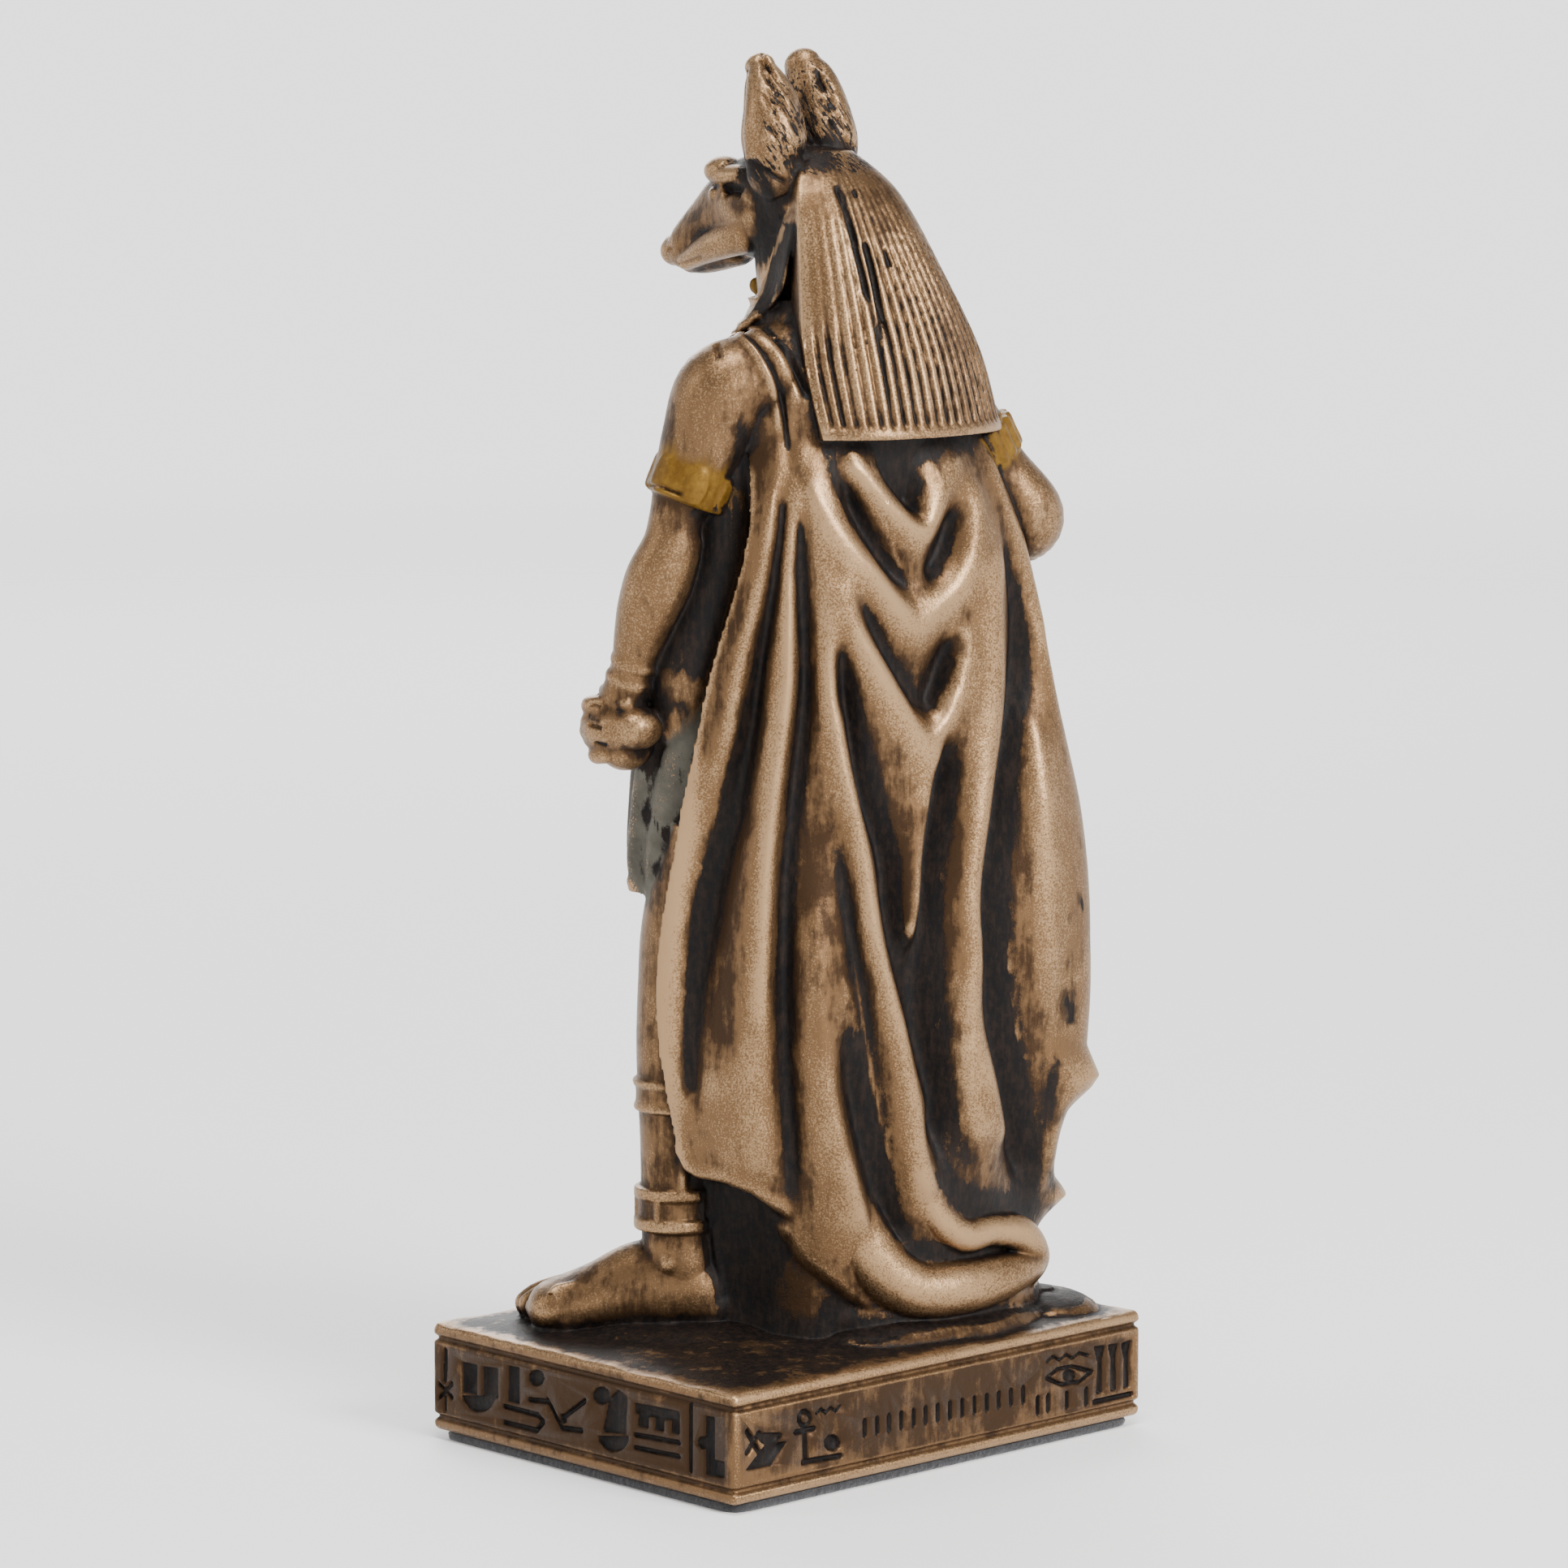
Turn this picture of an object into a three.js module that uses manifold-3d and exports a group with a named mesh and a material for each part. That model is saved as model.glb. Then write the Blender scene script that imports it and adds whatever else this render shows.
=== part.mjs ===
// A small standing jackal-headed figure in a long cape, cast in one with its plinth, on a felt pad.
// Millimetres, +Z up. The figure faces -Y, its left side is +X, and the origin is under the middle.
import * as THREE from 'three';
import { mergeVertices } from 'three/addons/utils/BufferGeometryUtils.js';
import ManifoldModule from 'manifold-3d';

const wasm = await ManifoldModule();
wasm.setup();

// Driving dimensions of the plinth and its pad
const plinthLength = 36;
const plinthDepth = 28.6;
const plinthHeight = 7.4;
const plinthCornerRadius = 0.9;
const plinthEdgeRadius = 0.35;
const plinthTopRise = 0.45;
const grooveWidth = 0.3;
const grooveDepth = 0.25;
const lowerGrooveHeight = 0.9;
const upperGrooveHeight = 6.05;
const friezeHeight = 3.7;
const friezeDepth = 0.35;
const friezeEndMargin = 0.9;
const feltThickness = 0.5;
const feltInset = 0.35;
const castingGap = 0.1;

// Driving dimensions of the figure
const figureHeight = 80.9;
const headTurn = 10;
const wigRidgePitch = 0.72;
const wigRidgeDepth = 0.2;

// The figure is drawn on a grid of its own, and brought to its height at the end. These are places on the grid.
const grid = {
  figureTop: 80.9,
  capeTop: 62,
  capeStep: 10,
  goreWidth: 4,
  shoulderTop: 63.2,
  backTop: 60,
  wigHemBand: 0.8,
  bandThickness: 0.25,
};

const tolerance = 1e-5;
const ovalSides = 14;

const castingColour = 0x8f7152;
const feltColour = 0x17161a;

const castingBottom = feltThickness + castingGap;
const plinthTop = castingBottom + plinthHeight;

const radians = (degrees) => (degrees * Math.PI) / 180;
const lerp = (a, b, t) => a + (b - a) * t;
const bump = (distance, width) => Math.exp(-((distance / width) ** 2));

// A smooth curve through rows of numbers that are evenly spaced in t, from 0 to rows.length - 1
function smooth(rows, t) {
  const last = rows.length - 1;
  const i = Math.min(Math.max(Math.floor(t), 0), last - 1);
  const f = t - i;
  const a = rows[Math.max(i - 1, 0)];
  const b = rows[i];
  const c = rows[i + 1];
  const d = rows[Math.min(i + 2, last)];
  return b.map((_, k) => 0.5 * (2 * b[k] + (c[k] - a[k]) * f
    + (2 * a[k] - 5 * b[k] + 4 * c[k] - d[k]) * f * f
    + (3 * b[k] - a[k] - 3 * c[k] + d[k]) * f ** 3));
}

// A closed solid from points and triangles, turned right side out
function solidFrom(positions, index) {
  const geometry = new THREE.BufferGeometry();
  geometry.setAttribute('position', new THREE.Float32BufferAttribute(positions, 3));
  geometry.setIndex(index);
  return solidOf(geometry);
}

function signedVolume(position, index) {
  const [a, b, c] = [new THREE.Vector3(), new THREE.Vector3(), new THREE.Vector3()];
  let sum = 0;
  for (let i = 0; i < index.length; i += 3) {
    a.fromBufferAttribute(position, index[i]);
    b.fromBufferAttribute(position, index[i + 1]);
    c.fromBufferAttribute(position, index[i + 2]);
    sum += a.dot(b.cross(c));
  }
  return sum / 6;
}

function solidOf(geometry) {
  const bare = new THREE.BufferGeometry();
  bare.setAttribute('position', geometry.getAttribute('position').clone());
  if (geometry.index) {
    bare.setIndex(geometry.index.clone());
  }
  const merged = mergeVertices(bare, tolerance);
  const index = Array.from(merged.index.array);
  if (signedVolume(merged.getAttribute('position'), index) < 0) {
    index.reverse();
  }
  const mesh = new wasm.Mesh({
    numProp: 3,
    vertProperties: new Float32Array(merged.getAttribute('position').array),
    triVerts: new Uint32Array(index),
  });
  return new wasm.Manifold(mesh);
}

function geometryOf(solid) {
  const mesh = solid.getMesh();
  const geometry = new THREE.BufferGeometry();
  geometry.setAttribute('position', new THREE.BufferAttribute(mesh.vertProperties, 3));
  geometry.setIndex(new THREE.BufferAttribute(mesh.triVerts, 1));
  return geometry;
}

const join = (solids) => solids.reduce((whole, piece) => whole.add(piece));

// A closed skin through rings of equally many points, each end closed by a point in its middle.
// Each cell is split along its shorter diagonal, which is the one that runs along a fold.
function skin(rings) {
  const sides = rings[0].length;
  const points = rings.flat();
  const apart = (i, j) => Math.hypot(...points[i].map((value, k) => value - points[j][k]));
  const positions = points.flat();
  const middle = (ring) => [0, 1, 2].map((k) => ring.reduce((sum, p) => sum + p[k], 0) / sides);
  positions.push(...middle(rings[0]), ...middle(rings[rings.length - 1]));
  const index = [];
  for (let r = 0; r + 1 < rings.length; r += 1) {
    for (let s = 0; s < sides; s += 1) {
      const next = (s + 1) % sides;
      const [a, b] = [r * sides + s, r * sides + next];
      if (apart(a, b + sides) <= apart(b, a + sides)) {
        index.push(a, b, b + sides, a, b + sides, a + sides);
      } else {
        index.push(a, b, a + sides, b, b + sides, a + sides);
      }
    }
  }
  const first = rings.length * sides;
  const lastRing = (rings.length - 1) * sides;
  for (let s = 0; s < sides; s += 1) {
    const next = (s + 1) % sides;
    index.push(first, next, s);
    index.push(first + 1, lastRing + s, lastRing + next);
  }
  return solidFrom(positions, index);
}

// A limb through [x, y, h, half width, half thickness], the width square to the given side
function limb(stations, { sides = 8, side = [0, 0, 1], roundStart = true, roundEnd = true } = {}) {
  const last = stations.length - 1;
  const sideWay = new THREE.Vector3(...side);
  const point = ([x, y, h]) => new THREE.Vector3(x, y, h);
  const along = (i) => {
    const after = point(stations[Math.min(i + 1, last)]);
    const before = point(stations[Math.max(i - 1, 0)]);
    return after.sub(before).normalize();
  };
  const ring = (station, way, shift, share) => {
    const across = new THREE.Vector3().crossVectors(sideWay, way).normalize();
    const up = new THREE.Vector3().crossVectors(way, across);
    const middle = point(station).addScaledVector(way, shift);
    return Array.from({ length: sides }, (_, s) => {
      const angle = (2 * Math.PI * (s + 0.5)) / sides;
      return middle.clone()
        .addScaledVector(across, station[3] * share * Math.cos(angle))
        .addScaledVector(up, station[4] * share * Math.sin(angle))
        .toArray();
    });
  };
  const dome = (station, way, sign) => {
    const height = 0.5 * Math.min(station[3], station[4]);
    return ring(station, way, sign * height, 0.65);
  };
  const rings = stations.map((station, i) => ring(station, along(i), 0, 1));
  if (roundStart) {
    rings.unshift(dome(stations[0], along(0), -1));
  }
  if (roundEnd) {
    rings.push(dome(stations[last], along(last), 1));
  }
  return skin(rings);
}

// A body through level ovals [h, x, y, half width, half depth], turned about the vertical
function body(levels, { sides = ovalSides, turn = 0 } = {}) {
  const [c, k] = [Math.cos(radians(turn)), Math.sin(radians(turn))];
  return skin(levels.map(([h, x, y, halfWidth, halfDepth]) => (
    Array.from({ length: sides }, (_, s) => {
      const angle = (2 * Math.PI * s) / sides;
      const [u, v] = [halfWidth * Math.cos(angle), halfDepth * Math.sin(angle)];
      return [x + u * c - v * k, y + u * k + v * c, h];
    }))));
}

function ball([x, y, h], [rx, ry, rz], segments = 8) {
  const geometry = new THREE.SphereGeometry(1, segments, Math.round(segments * 0.6));
  geometry.rotateX(Math.PI / 2);
  geometry.scale(rx, ry, rz);
  geometry.translate(x, y, h);
  return solidOf(geometry);
}

// The cape

// Its gores run from the left edge round the back to the right edge: plan points [x, y] down the levels.
const gores = [
  [[7.6, 3.6], [8.6, 5.6], [9.8, 3.2], [10.6, 1.3], [11.2, 0], [10.2, 0.6], [9.4, 1.2]],
  [[6.2, 5.2], [7.2, 7.4], [8, 6.6], [8.2, 7], [8.4, 6.8], [8, 6.6], [6.6, 5.6]],
  [[3.5, 7.4], [3.5, 9.6], [3.7, 9.8], [4, 10.3], [4, 10.6], [4, 10.4], [4.3, 8.4]],
  [[-1, 8.4], [-1.5, 10.3], [-1.6, 10.4], [-2, 11.2], [-2.5, 11.9], [-2.8, 11.9], [-2.9, 11]],
  [[-5, 8.4], [-7, 10.3], [-8, 11], [-9, 12.2], [-9.5, 12.6], [-10, 12.2], [-10, 10.4]],
  [[-7, 7.5], [-9.9, 9.8], [-12.3, 10.8], [-14.6, 11.7], [-15.1, 11.8], [-15.2, 9.8], [-15, 8]],
  [[-7.5, 5], [-10.5, 7.5], [-12.8, 7.4], [-14.8, 6.4], [-15.2, 5.2], [-15.6, 5.6], [-15, 5]],
];
const goreCount = gores.length - 1;

// A fold runs through [h, gore]; it stands out by rise, or is sunk where rise is negative.
const folds = [
  { rise: 0.9, width: 1.05, line: [[62, 0.6], [56, 0.96], [48, 0.64], [40, 0.58], [34, 0.3]] },
  { rise: -1.1, width: 1.15, line: [[48, 1], [42, 0.82], [33, 0.5], [23, 0.36], [14, 0.36]] },
  { rise: 1.2, width: 1.15, line: [[50, 1.1], [42, 1.25], [32, 1], [20, 0.93], [9, 0.96]] },
  { rise: -0.8, width: 0.7, line: [[52, 1.2], [42, 1.44], [30, 1.22], [18, 1.2], [8, 1.28]] },
  { rise: 1,
    width: 1.05,
    line: [[57, 1.2], [50, 1.52], [42, 1.76], [34, 2], [24, 2.24], [15, 2.6], [7, 2.85]] },
  { rise: -1.1, width: 1.05, line: [[43, 1.92], [35, 2.2], [26, 2.5], [18, 2.72], [11, 2.95]] },
  { rise: 0.9, width: 1.05, line: [[24, 1.6], [18, 1.66], [10, 1.8], [4, 2.1]] },
  { rise: -0.9, width: 0.9, line: [[18, 1.95], [12, 2.1], [8, 2.3], [4.5, 2.5]] },
  { rise: 0.8, width: 0.95, line: [[56, 2], [53, 2.5], [51, 3.02], [53, 3.32], [56, 3.7]] },
  { rise: -0.7, width: 0.95, line: [[54.5, 3.05], [53.4, 3.1]] },
  { rise: -0.8, width: 0.95, line: [[52, 2], [49.5, 2.5], [47.5, 2.8]] },
  { rise: 0.9,
    width: 1.05,
    line: [[55, 1.34], [51.8, 1.68], [48.8, 2.24], [45.2, 2.86], [48, 3.5], [54, 3.95]] },
  { rise: -0.8, width: 0.95, line: [[46, 1.9], [43, 2.35], [40, 2.8]] },
  { rise: 1,
    width: 1.15,
    line: [[49, 1.74], [45.6, 1.98], [42, 2.44], [37, 3.12], [42, 3.38], [46, 3.6]] },
  { rise: 0.7, width: 1, line: [[36, 3.02], [31, 2.84], [26, 2.74]] },
  { rise: -0.9, width: 0.95, line: [[38, 3.3], [33, 3.04], [28, 2.92], [22, 2.9], [12, 3.05]] },
  { rise: 1.1,
    width: 1.15,
    line: [[49, 4.2], [44, 3.92], [38, 3.76], [32, 3.48], [24, 3.3], [16, 3.36], [10, 3.6]] },
  { rise: -1.3, width: 1.15, line: [[44, 4.25], [34, 3.84], [26, 3.5], [18, 3.56], [9, 3.85]] },
  { rise: 0.6, width: 0.6, line: [[57, 4.8], [50, 4.85], [43, 4.8], [37, 4.86]] },
  { rise: -1.1, width: 1.05, line: [[20, 4.1], [13, 4.3], [5, 4.35]] },
  { rise: 1.3, width: 1.7, line: [[16, 4.85], [15.6, 5.4]] },
  { rise: 0.9, width: 1.1, line: [[7.4, 4.8], [7, 5.3]] },
];
const foldSamples = 16;

function sampleFold({ line, rise, width }) {
  const points = Array.from({ length: foldSamples + 1 }, (_, i) => {
    const [h, gore] = smooth(line, (i / foldSamples) * (line.length - 1));
    return [h, gore * grid.goreWidth];
  });
  return { points, rise, width };
}

const sampledFolds = folds.map(sampleFold);

function distanceTo(points, h, across) {
  let nearest = Infinity;
  for (let i = 0; i + 1 < points.length; i += 1) {
    const [h0, a0] = points[i];
    const [dh, da] = [points[i + 1][0] - h0, points[i + 1][1] - a0];
    const along = ((h - h0) * dh + (across - a0) * da) / (dh * dh + da * da);
    const share = Math.min(Math.max(along, 0), 1);
    nearest = Math.min(nearest, Math.hypot(h - h0 - share * dh, across - a0 - share * da));
  }
  return nearest;
}

function capeRise(gore, h) {
  return sampledFolds.reduce((sum, { points, rise, width }) => (
    sum + rise * bump(distanceTo(points, h, gore * grid.goreWidth), width)), 0);
}

function capePlan(gore, h) {
  const level = Math.min(Math.max((grid.capeTop - h) / grid.capeStep, 0), gores[0].length - 1);
  return smooth(gores.map((points) => smooth(points, level)), gore);
}

function capePoint(gore, h) {
  const [x, y] = capePlan(gore, h);
  const before = capePlan(Math.max(gore - 0.1, 0), h);
  const after = capePlan(Math.min(gore + 0.1, goreCount), h);
  const [dx, dy] = [after[0] - before[0], after[1] - before[1]];
  const rise = capeRise(gore, h) / Math.hypot(dx, dy);
  return [x + dy * rise, y - dx * rise, h];
}

// The hem is [column, h]: free at the left, on the ground behind, and drawn up to two points at the right.
const capeColumns = 36;
const hem = [
  [0, 10.5], [4, 8.6], [7, 7.2], [8, -0.6], [26, -0.6],
  [28, 4.8], [29, 7], [30, 9.4], [31, 13.6], [36, 9],
];
const capeUnder = 0.12;

function hemAt(gore) {
  const column = (gore / goreCount) * capeColumns;
  const i = Math.max(hem.findIndex(([edge]) => edge >= column - 1e-6), 1);
  const [[c0, h0], [c1, h1]] = [hem[i - 1], hem[i]];
  return lerp(h0, h1, (column - c0) / (c1 - c0));
}

// The cape starts on top of the left shoulder, and under the wig behind.
const shoulderGores = 1.2;

function capeTopAt(gore) {
  return lerp(grid.shoulderTop, grid.backTop, Math.min(gore / shoulderGores, 1));
}

function cape() {
  const down = 26;
  const inside = 3;
  const rings = [];
  for (let row = 0; row <= down; row += 1) {
    const ring = [];
    for (let i = 0; i <= capeColumns; i += 1) {
      const gore = (i / capeColumns) * goreCount;
      const h = lerp(capeTopAt(gore), hemAt(gore), row / down);
      ring.push(capePoint(gore, h));
    }
    const [right, left] = [ring[capeColumns], ring[0]];
    for (let i = 1; i < inside; i += 1) {
      const share = i / inside;
      const gore = (1 - share) * goreCount;
      const h = lerp(capeTopAt(gore), hemAt(gore), row / down);
      const [x, y] = capePlan(gore, h);
      const chord = [lerp(right[0], left[0], share), lerp(right[1], left[1], share)];
      ring.push([lerp(chord[0], x, capeUnder), lerp(chord[1], y, capeUnder), h]);
    }
    rings.push(ring);
  }
  return skin(rings);
}

// Rolls of cloth that come out of the cape behind, lie on the ground and sweep to the right
function train() {
  const shape = { side: [0, 0, 1], sides: 6, roundStart: false };
  const upper = [
    [0.3, 9.2, 20.1, 0.8, 0.9], [-0.5, 10.1, 15.1, 0.85, 0.9], [-1, 10.5, 11.2, 0.95, 1],
    [-2.3, 10.9, 7.8, 1.05, 1.1], [-4.5, 11.3, 6, 1.05, 1.1], [-7, 11.4, 6, 1, 1.05],
    [-9.8, 11.3, 5.3, 1.1, 1.15], [-11.6, 10.7, 3.5, 1.1, 1.1], [-11.5, 10, 2.2, 0.9, 0.95],
  ];
  const lower = [
    [3.4, 6, 17.9, 1.3, 1.4], [3.3, 6.8, 13.3, 1.6, 1.7], [2.6, 7.7, 9.1, 1.9, 2], [1.3, 8.8, 5.2, 2, 2.1],
    [-1.1, 10.1, 2.9, 1.9, 1.9], [-4.5, 11, 2.6, 1.75, 1.8], [-8.2, 11.3, 2.8, 1.4, 1.5],
    [-10.9, 11.1, 3.1, 1, 1.05],
  ];
  const footing = [
    [4, 4.2, 1, 1.8, 1.8], [2, 7, 1, 1.9, 1.9], [-0.8, 8.7, 1, 1.9, 1.9], [-4.2, 9.7, 1.1, 1.9, 1.9],
    [-8.6, 9.6, 1, 1.9, 1.9], [-12, 8.4, 0.8, 1.8, 1.8], [-14, 6.6, 0.6, 1.4, 1.4],
  ];
  return join([upper, lower, footing].map((stations) => limb(stations, shape)));
}

// The wig

// Its back panel is drawn as the cape is, in columns of [x, y] from the left edge to the right side.
const wigLevels = [74.6, 72, 67, 62, 57];
const wigColumns = [
  [[1.9, 3.4], [3.9, 5], [4.8, 6.2], [5.4, 7.2], [5.5, 9]],
  [[1, 4.2], [1.9, 6.4], [2.3, 8.4], [2.5, 10], [2.5, 11.3]],
  [[-0.3, 4.6], [-0.6, 6.8], [-1.2, 9.2], [-1.8, 10.9], [-2.1, 12]],
  [[-1.5, 4.2], [-2.85, 6.65], [-4.3, 9], [-5.6, 10.5], [-6.45, 11.45]],
  [[-2.2, 3.2], [-4.35, 5.35], [-6.2, 7.5], [-8.15, 9], [-9.35, 9.65]],
  [[-2.2, 1.9], [-4.85, 2.65], [-6.9, 4.05], [-8.9, 5.45], [-9.95, 6.45]],
];

function wigPoint(column, level) {
  return smooth(wigColumns.map((points) => smooth(points, level)), column);
}

// A ridged panel: the ridges run from the crown to just above the hem
function wig() {
  const lastColumn = wigColumns.length - 1;
  const hemLevel = wigLevels.length - 1;
  const pieces = 40;
  const hemPoint = (i) => wigPoint((i / pieces) * lastColumn, hemLevel);
  const hemLength = Array.from({ length: pieces }, (_, i) => {
    const [from, to] = [hemPoint(i), hemPoint(i + 1)];
    return Math.hypot(to[0] - from[0], to[1] - from[1]);
  }).reduce((sum, piece) => sum + piece, 0);
  const ridges = Math.round(hemLength / wigRidgePitch);
  const perRidge = 2;
  const across = ridges * perRidge;
  const down = 5;
  const rings = [];
  for (let row = 0; row <= down; row += 1) {
    const level = (row / down) * hemLevel;
    const [h] = smooth(wigLevels.map((value) => [value]), level);
    const strength = h < wigLevels[hemLevel] + grid.wigHemBand ? 0 : Math.min(level / 1.5, 1);
    const ring = [];
    for (let i = 0; i <= across; i += 1) {
      const column = (i / across) * lastColumn;
      const [x, y] = wigPoint(column, level);
      const before = wigPoint(Math.max(column - 0.1, 0), level);
      const after = wigPoint(Math.min(column + 0.1, lastColumn), level);
      const [dx, dy] = [after[0] - before[0], after[1] - before[1]];
      const wave = -0.5 + 0.5 * Math.cos((2 * Math.PI * i) / perRidge);
      const rise = (wigRidgeDepth * strength * wave) / Math.hypot(dx, dy);
      ring.push([x + dy * rise, y - dx * rise, h]);
    }
    const [left, right] = [ring[0], ring[across]];
    ring.push([right[0] * 0.75, right[1] - 2, h], [0, 1.5, h], [left[0] * 0.75, left[1] - 2.2, h]);
    rings.push(ring);
  }
  return skin(rings);
}

function crown() {
  return ball([0, 2.2, 71.8], [3.9, 3.6, 3.5], 10);
}

// The head, in its own frame: x to its left, y back, turned and moved onto the neck afterwards
const headPlace = [-0.1, 2];

function placeHead(solid) {
  const geometry = geometryOf(solid);
  geometry.rotateZ(radians(headTurn));
  geometry.translate(headPlace[0], headPlace[1], 0);
  return solidOf(geometry);
}

function ear(side) {
  const lean = [
    [2.6 * side, 0.1, 71.4, 2.1, 1.6], [2.7 * side, -0.2, 74.6, 2.3, 1.8], [2.6 * side, -0.8, 77.4, 2, 1.6],
    [2.4 * side, -1.6, 79.7, 1.2, 1.1], [2.3 * side, -1.9, 80.8, 0.5, 0.5],
  ];
  const hollow = [
    [2.9 * side, -2.1, 73.4, 0.8, 1.1], [2.9 * side, -2.2, 75.8, 1.4, 1.3], [2.7 * side, -2.6, 78.2, 0.9, 1],
    [2.6 * side, -3, 79.7, 0.3, 0.4],
  ];
  const shape = { side: [0, 1, 0], sides: 8, roundStart: false, roundEnd: false };
  return limb(lean, shape).subtract(limb(hollow, { ...shape, sides: 6 }));
}

function head() {
  const skull = limb([
    [0, 1, 71, 3.6, 3.4], [0, -2, 71, 3.8, 3.6], [0, -4, 71, 3.4, 3.4], [0, -5.8, 70.4, 2.6, 2.9],
    [0, -7.2, 69.6, 2.1, 2.4], [0, -8.7, 68.7, 1.75, 1.9], [0, -9.9, 68, 1.5, 1.4], [0, -10.8, 67.9, 1.1, 0.85],
  ], { sides: 10 });
  const faceParts = [1, -1].flatMap((side) => [
    ball([1.6 * side, -5.2, 73.3], [1.2, 1.3, 0.8], 6),
    ball([1.9 * side, -5.7, 71.7], [0.9, 0.7, 0.6], 6),
  ]);
  const nose = ball([0, -10.7, 68.1], [0.85, 0.6, 0.6], 6);
  return placeHead(join([skull, nose, ...faceParts, ear(1), ear(-1)]));
}

// The front flaps of the headdress run from under the ears down onto the chest
function lappets() {
  return placeHead(join([1, -1].map((side) => limb([
    [3.9 * side, 1.2, 73.4, 1, 0.6], [4.2 * side, 0.7, 70, 1.5, 0.6], [4.1 * side, -0.2, 66.6, 1.6, 0.6],
    [3.7 * side, -2, 64, 1.6, 0.6], [3.4 * side, -3.2, 61, 1.7, 0.6], [3.3 * side, -3.4, 57, 1.7, 0.6],
    [3.3 * side, -3.3, 53.5, 1.6, 0.55],
  ], { side: [0.5 * side, 1, 0.2], sides: 6 }))));
}

// The trunk
const torsoTurn = -12;

function trunk() {
  return join([
    body([
      [38, 1, 2.6, 7.4, 5.2], [44, 0.6, 3.4, 6.6, 4.5], [50, 0.2, 4.1, 7.2, 4.6], [56, 0, 4.5, 8.6, 5],
      [60, 0, 4.6, 8.8, 4.7], [63, 0, 4.4, 6.4, 3.6], [64.6, 0, 4, 3.6, 3],
    ], { turn: torsoTurn }),
    limb([
      [7.3, 1.9, 50, 2.2, 2.3], [8.1, 1, 45.5, 2.4, 2.4], [8.8, 0.2, 42, 2.4, 2.4], [8.8, -0.4, 39, 2, 2],
    ], { side: [0, 1, 0] }),
    limb([[0, 3.6, 60, 3.8, 3.6], [0.2, 2.4, 64, 3.3, 3.2], [0.1, 1.4, 69, 3.1, 3.1]], { side: [0, 1, 0] }),
    ball([3.6, 0.9, 57.4], [3.6, 2.2, 2.3]),
    ball([-3.6, 1.9, 57.4], [3.6, 2.2, 2.3]),
  ]);
}

// A broad collar: a low cone round the neck with a beaded edge
function collar() {
  const cone = body([
    [58.2, 0, 3.2, 6.6, 4.4], [61.2, 0, 3.4, 6.4, 4.6], [63.8, 0.1, 3, 4.7, 4], [65.4, 0.2, 2.4, 4, 3.9],
  ], { turn: torsoTurn });
  const bead = ball([0.6, -1.6, 65], [0.7, 0.7, 0.7], 6);
  return cone.add(bead);
}

// A ring round a limb: centre, half width, height and lean of its axis as [x, y, h]
function band([x, y, h], radius, height, lean = [0, 0, 1]) {
  const way = new THREE.Vector3(...lean).normalize();
  const station = (shift, share) => [
    x + way.x * shift, y + way.y * shift, h + way.z * shift, radius * share, radius * share];
  const half = height / 2;
  const slope = 1 - grid.bandThickness / radius;
  const flat = 0.6;
  return limb([
    station(-half, slope), station(-half * flat, 1), station(half * flat, 1), station(half, slope),
  ], { side: [0, 1, 0], roundStart: false, roundEnd: false });
}

// The cape's gathered top runs over the left shoulder and down the chest, and so does the right one's
function straps() {
  const shape = { side: [0, 0.3, 1], sides: 6 };
  return join([
    limb([
      [6.9, 5.2, 59.6, 1.3, 0.6], [6.3, 3.8, 61.8, 1.3, 0.6], [5.6, 2, 62.7, 1.2, 0.6],
      [5.1, 0.2, 61.6, 1.1, 0.6], [4.4, -1.3, 59, 1, 0.6],
    ], shape),
    limb([
      [-7.2, 8, 58, 1.5, 0.8], [-6.6, 6.4, 62, 1.4, 0.8], [-6, 4.4, 63.6, 1.3, 0.7],
      [-5.4, 2.2, 62, 1.2, 0.7], [-5, 0.6, 59, 1.1, 0.6],
    ], shape),
  ]);
}

const fingerCount = 4;

// A closed fist, its four fingers side by side from the little one up, with the thumb laid on top
function fist([x, y, h], knuckles, top) {
  const out = new THREE.Vector3(...knuckles).normalize();
  const up = new THREE.Vector3(...top).normalize();
  const across = new THREE.Vector3().crossVectors(up, out).normalize();
  const place = (u, v, w) => new THREE.Vector3(x, y, h)
    .addScaledVector(out, u).addScaledVector(across, v).addScaledVector(up, w).toArray();
  const sides = 8;
  const levels = 2 * fingerCount;
  const rings = Array.from({ length: levels + 1 }, (_, level) => {
    const groove = level % 2 === 0 ? 0.88 : 1;
    const share = level === 0 || level === levels ? 0.6 : groove;
    return Array.from({ length: sides }, (__, s) => {
      const angle = (2 * Math.PI * (s + 0.5)) / sides;
      const [u, v] = [2 * share * Math.cos(angle), 1.9 * share * Math.sin(angle)];
      return place(u, v, (level / fingerCount - 1) * 2.1);
    });
  });
  const thumb = limb([
    [...place(-1.2, 1, 1.7), 0.6, 0.6], [...place(0.5, 0.2, 2.2), 0.6, 0.55],
    [...place(1.4, -0.8, 1.8), 0.5, 0.5],
  ], { sides: 6, side: across.toArray() });
  return skin(rings).add(thumb);
}

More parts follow.
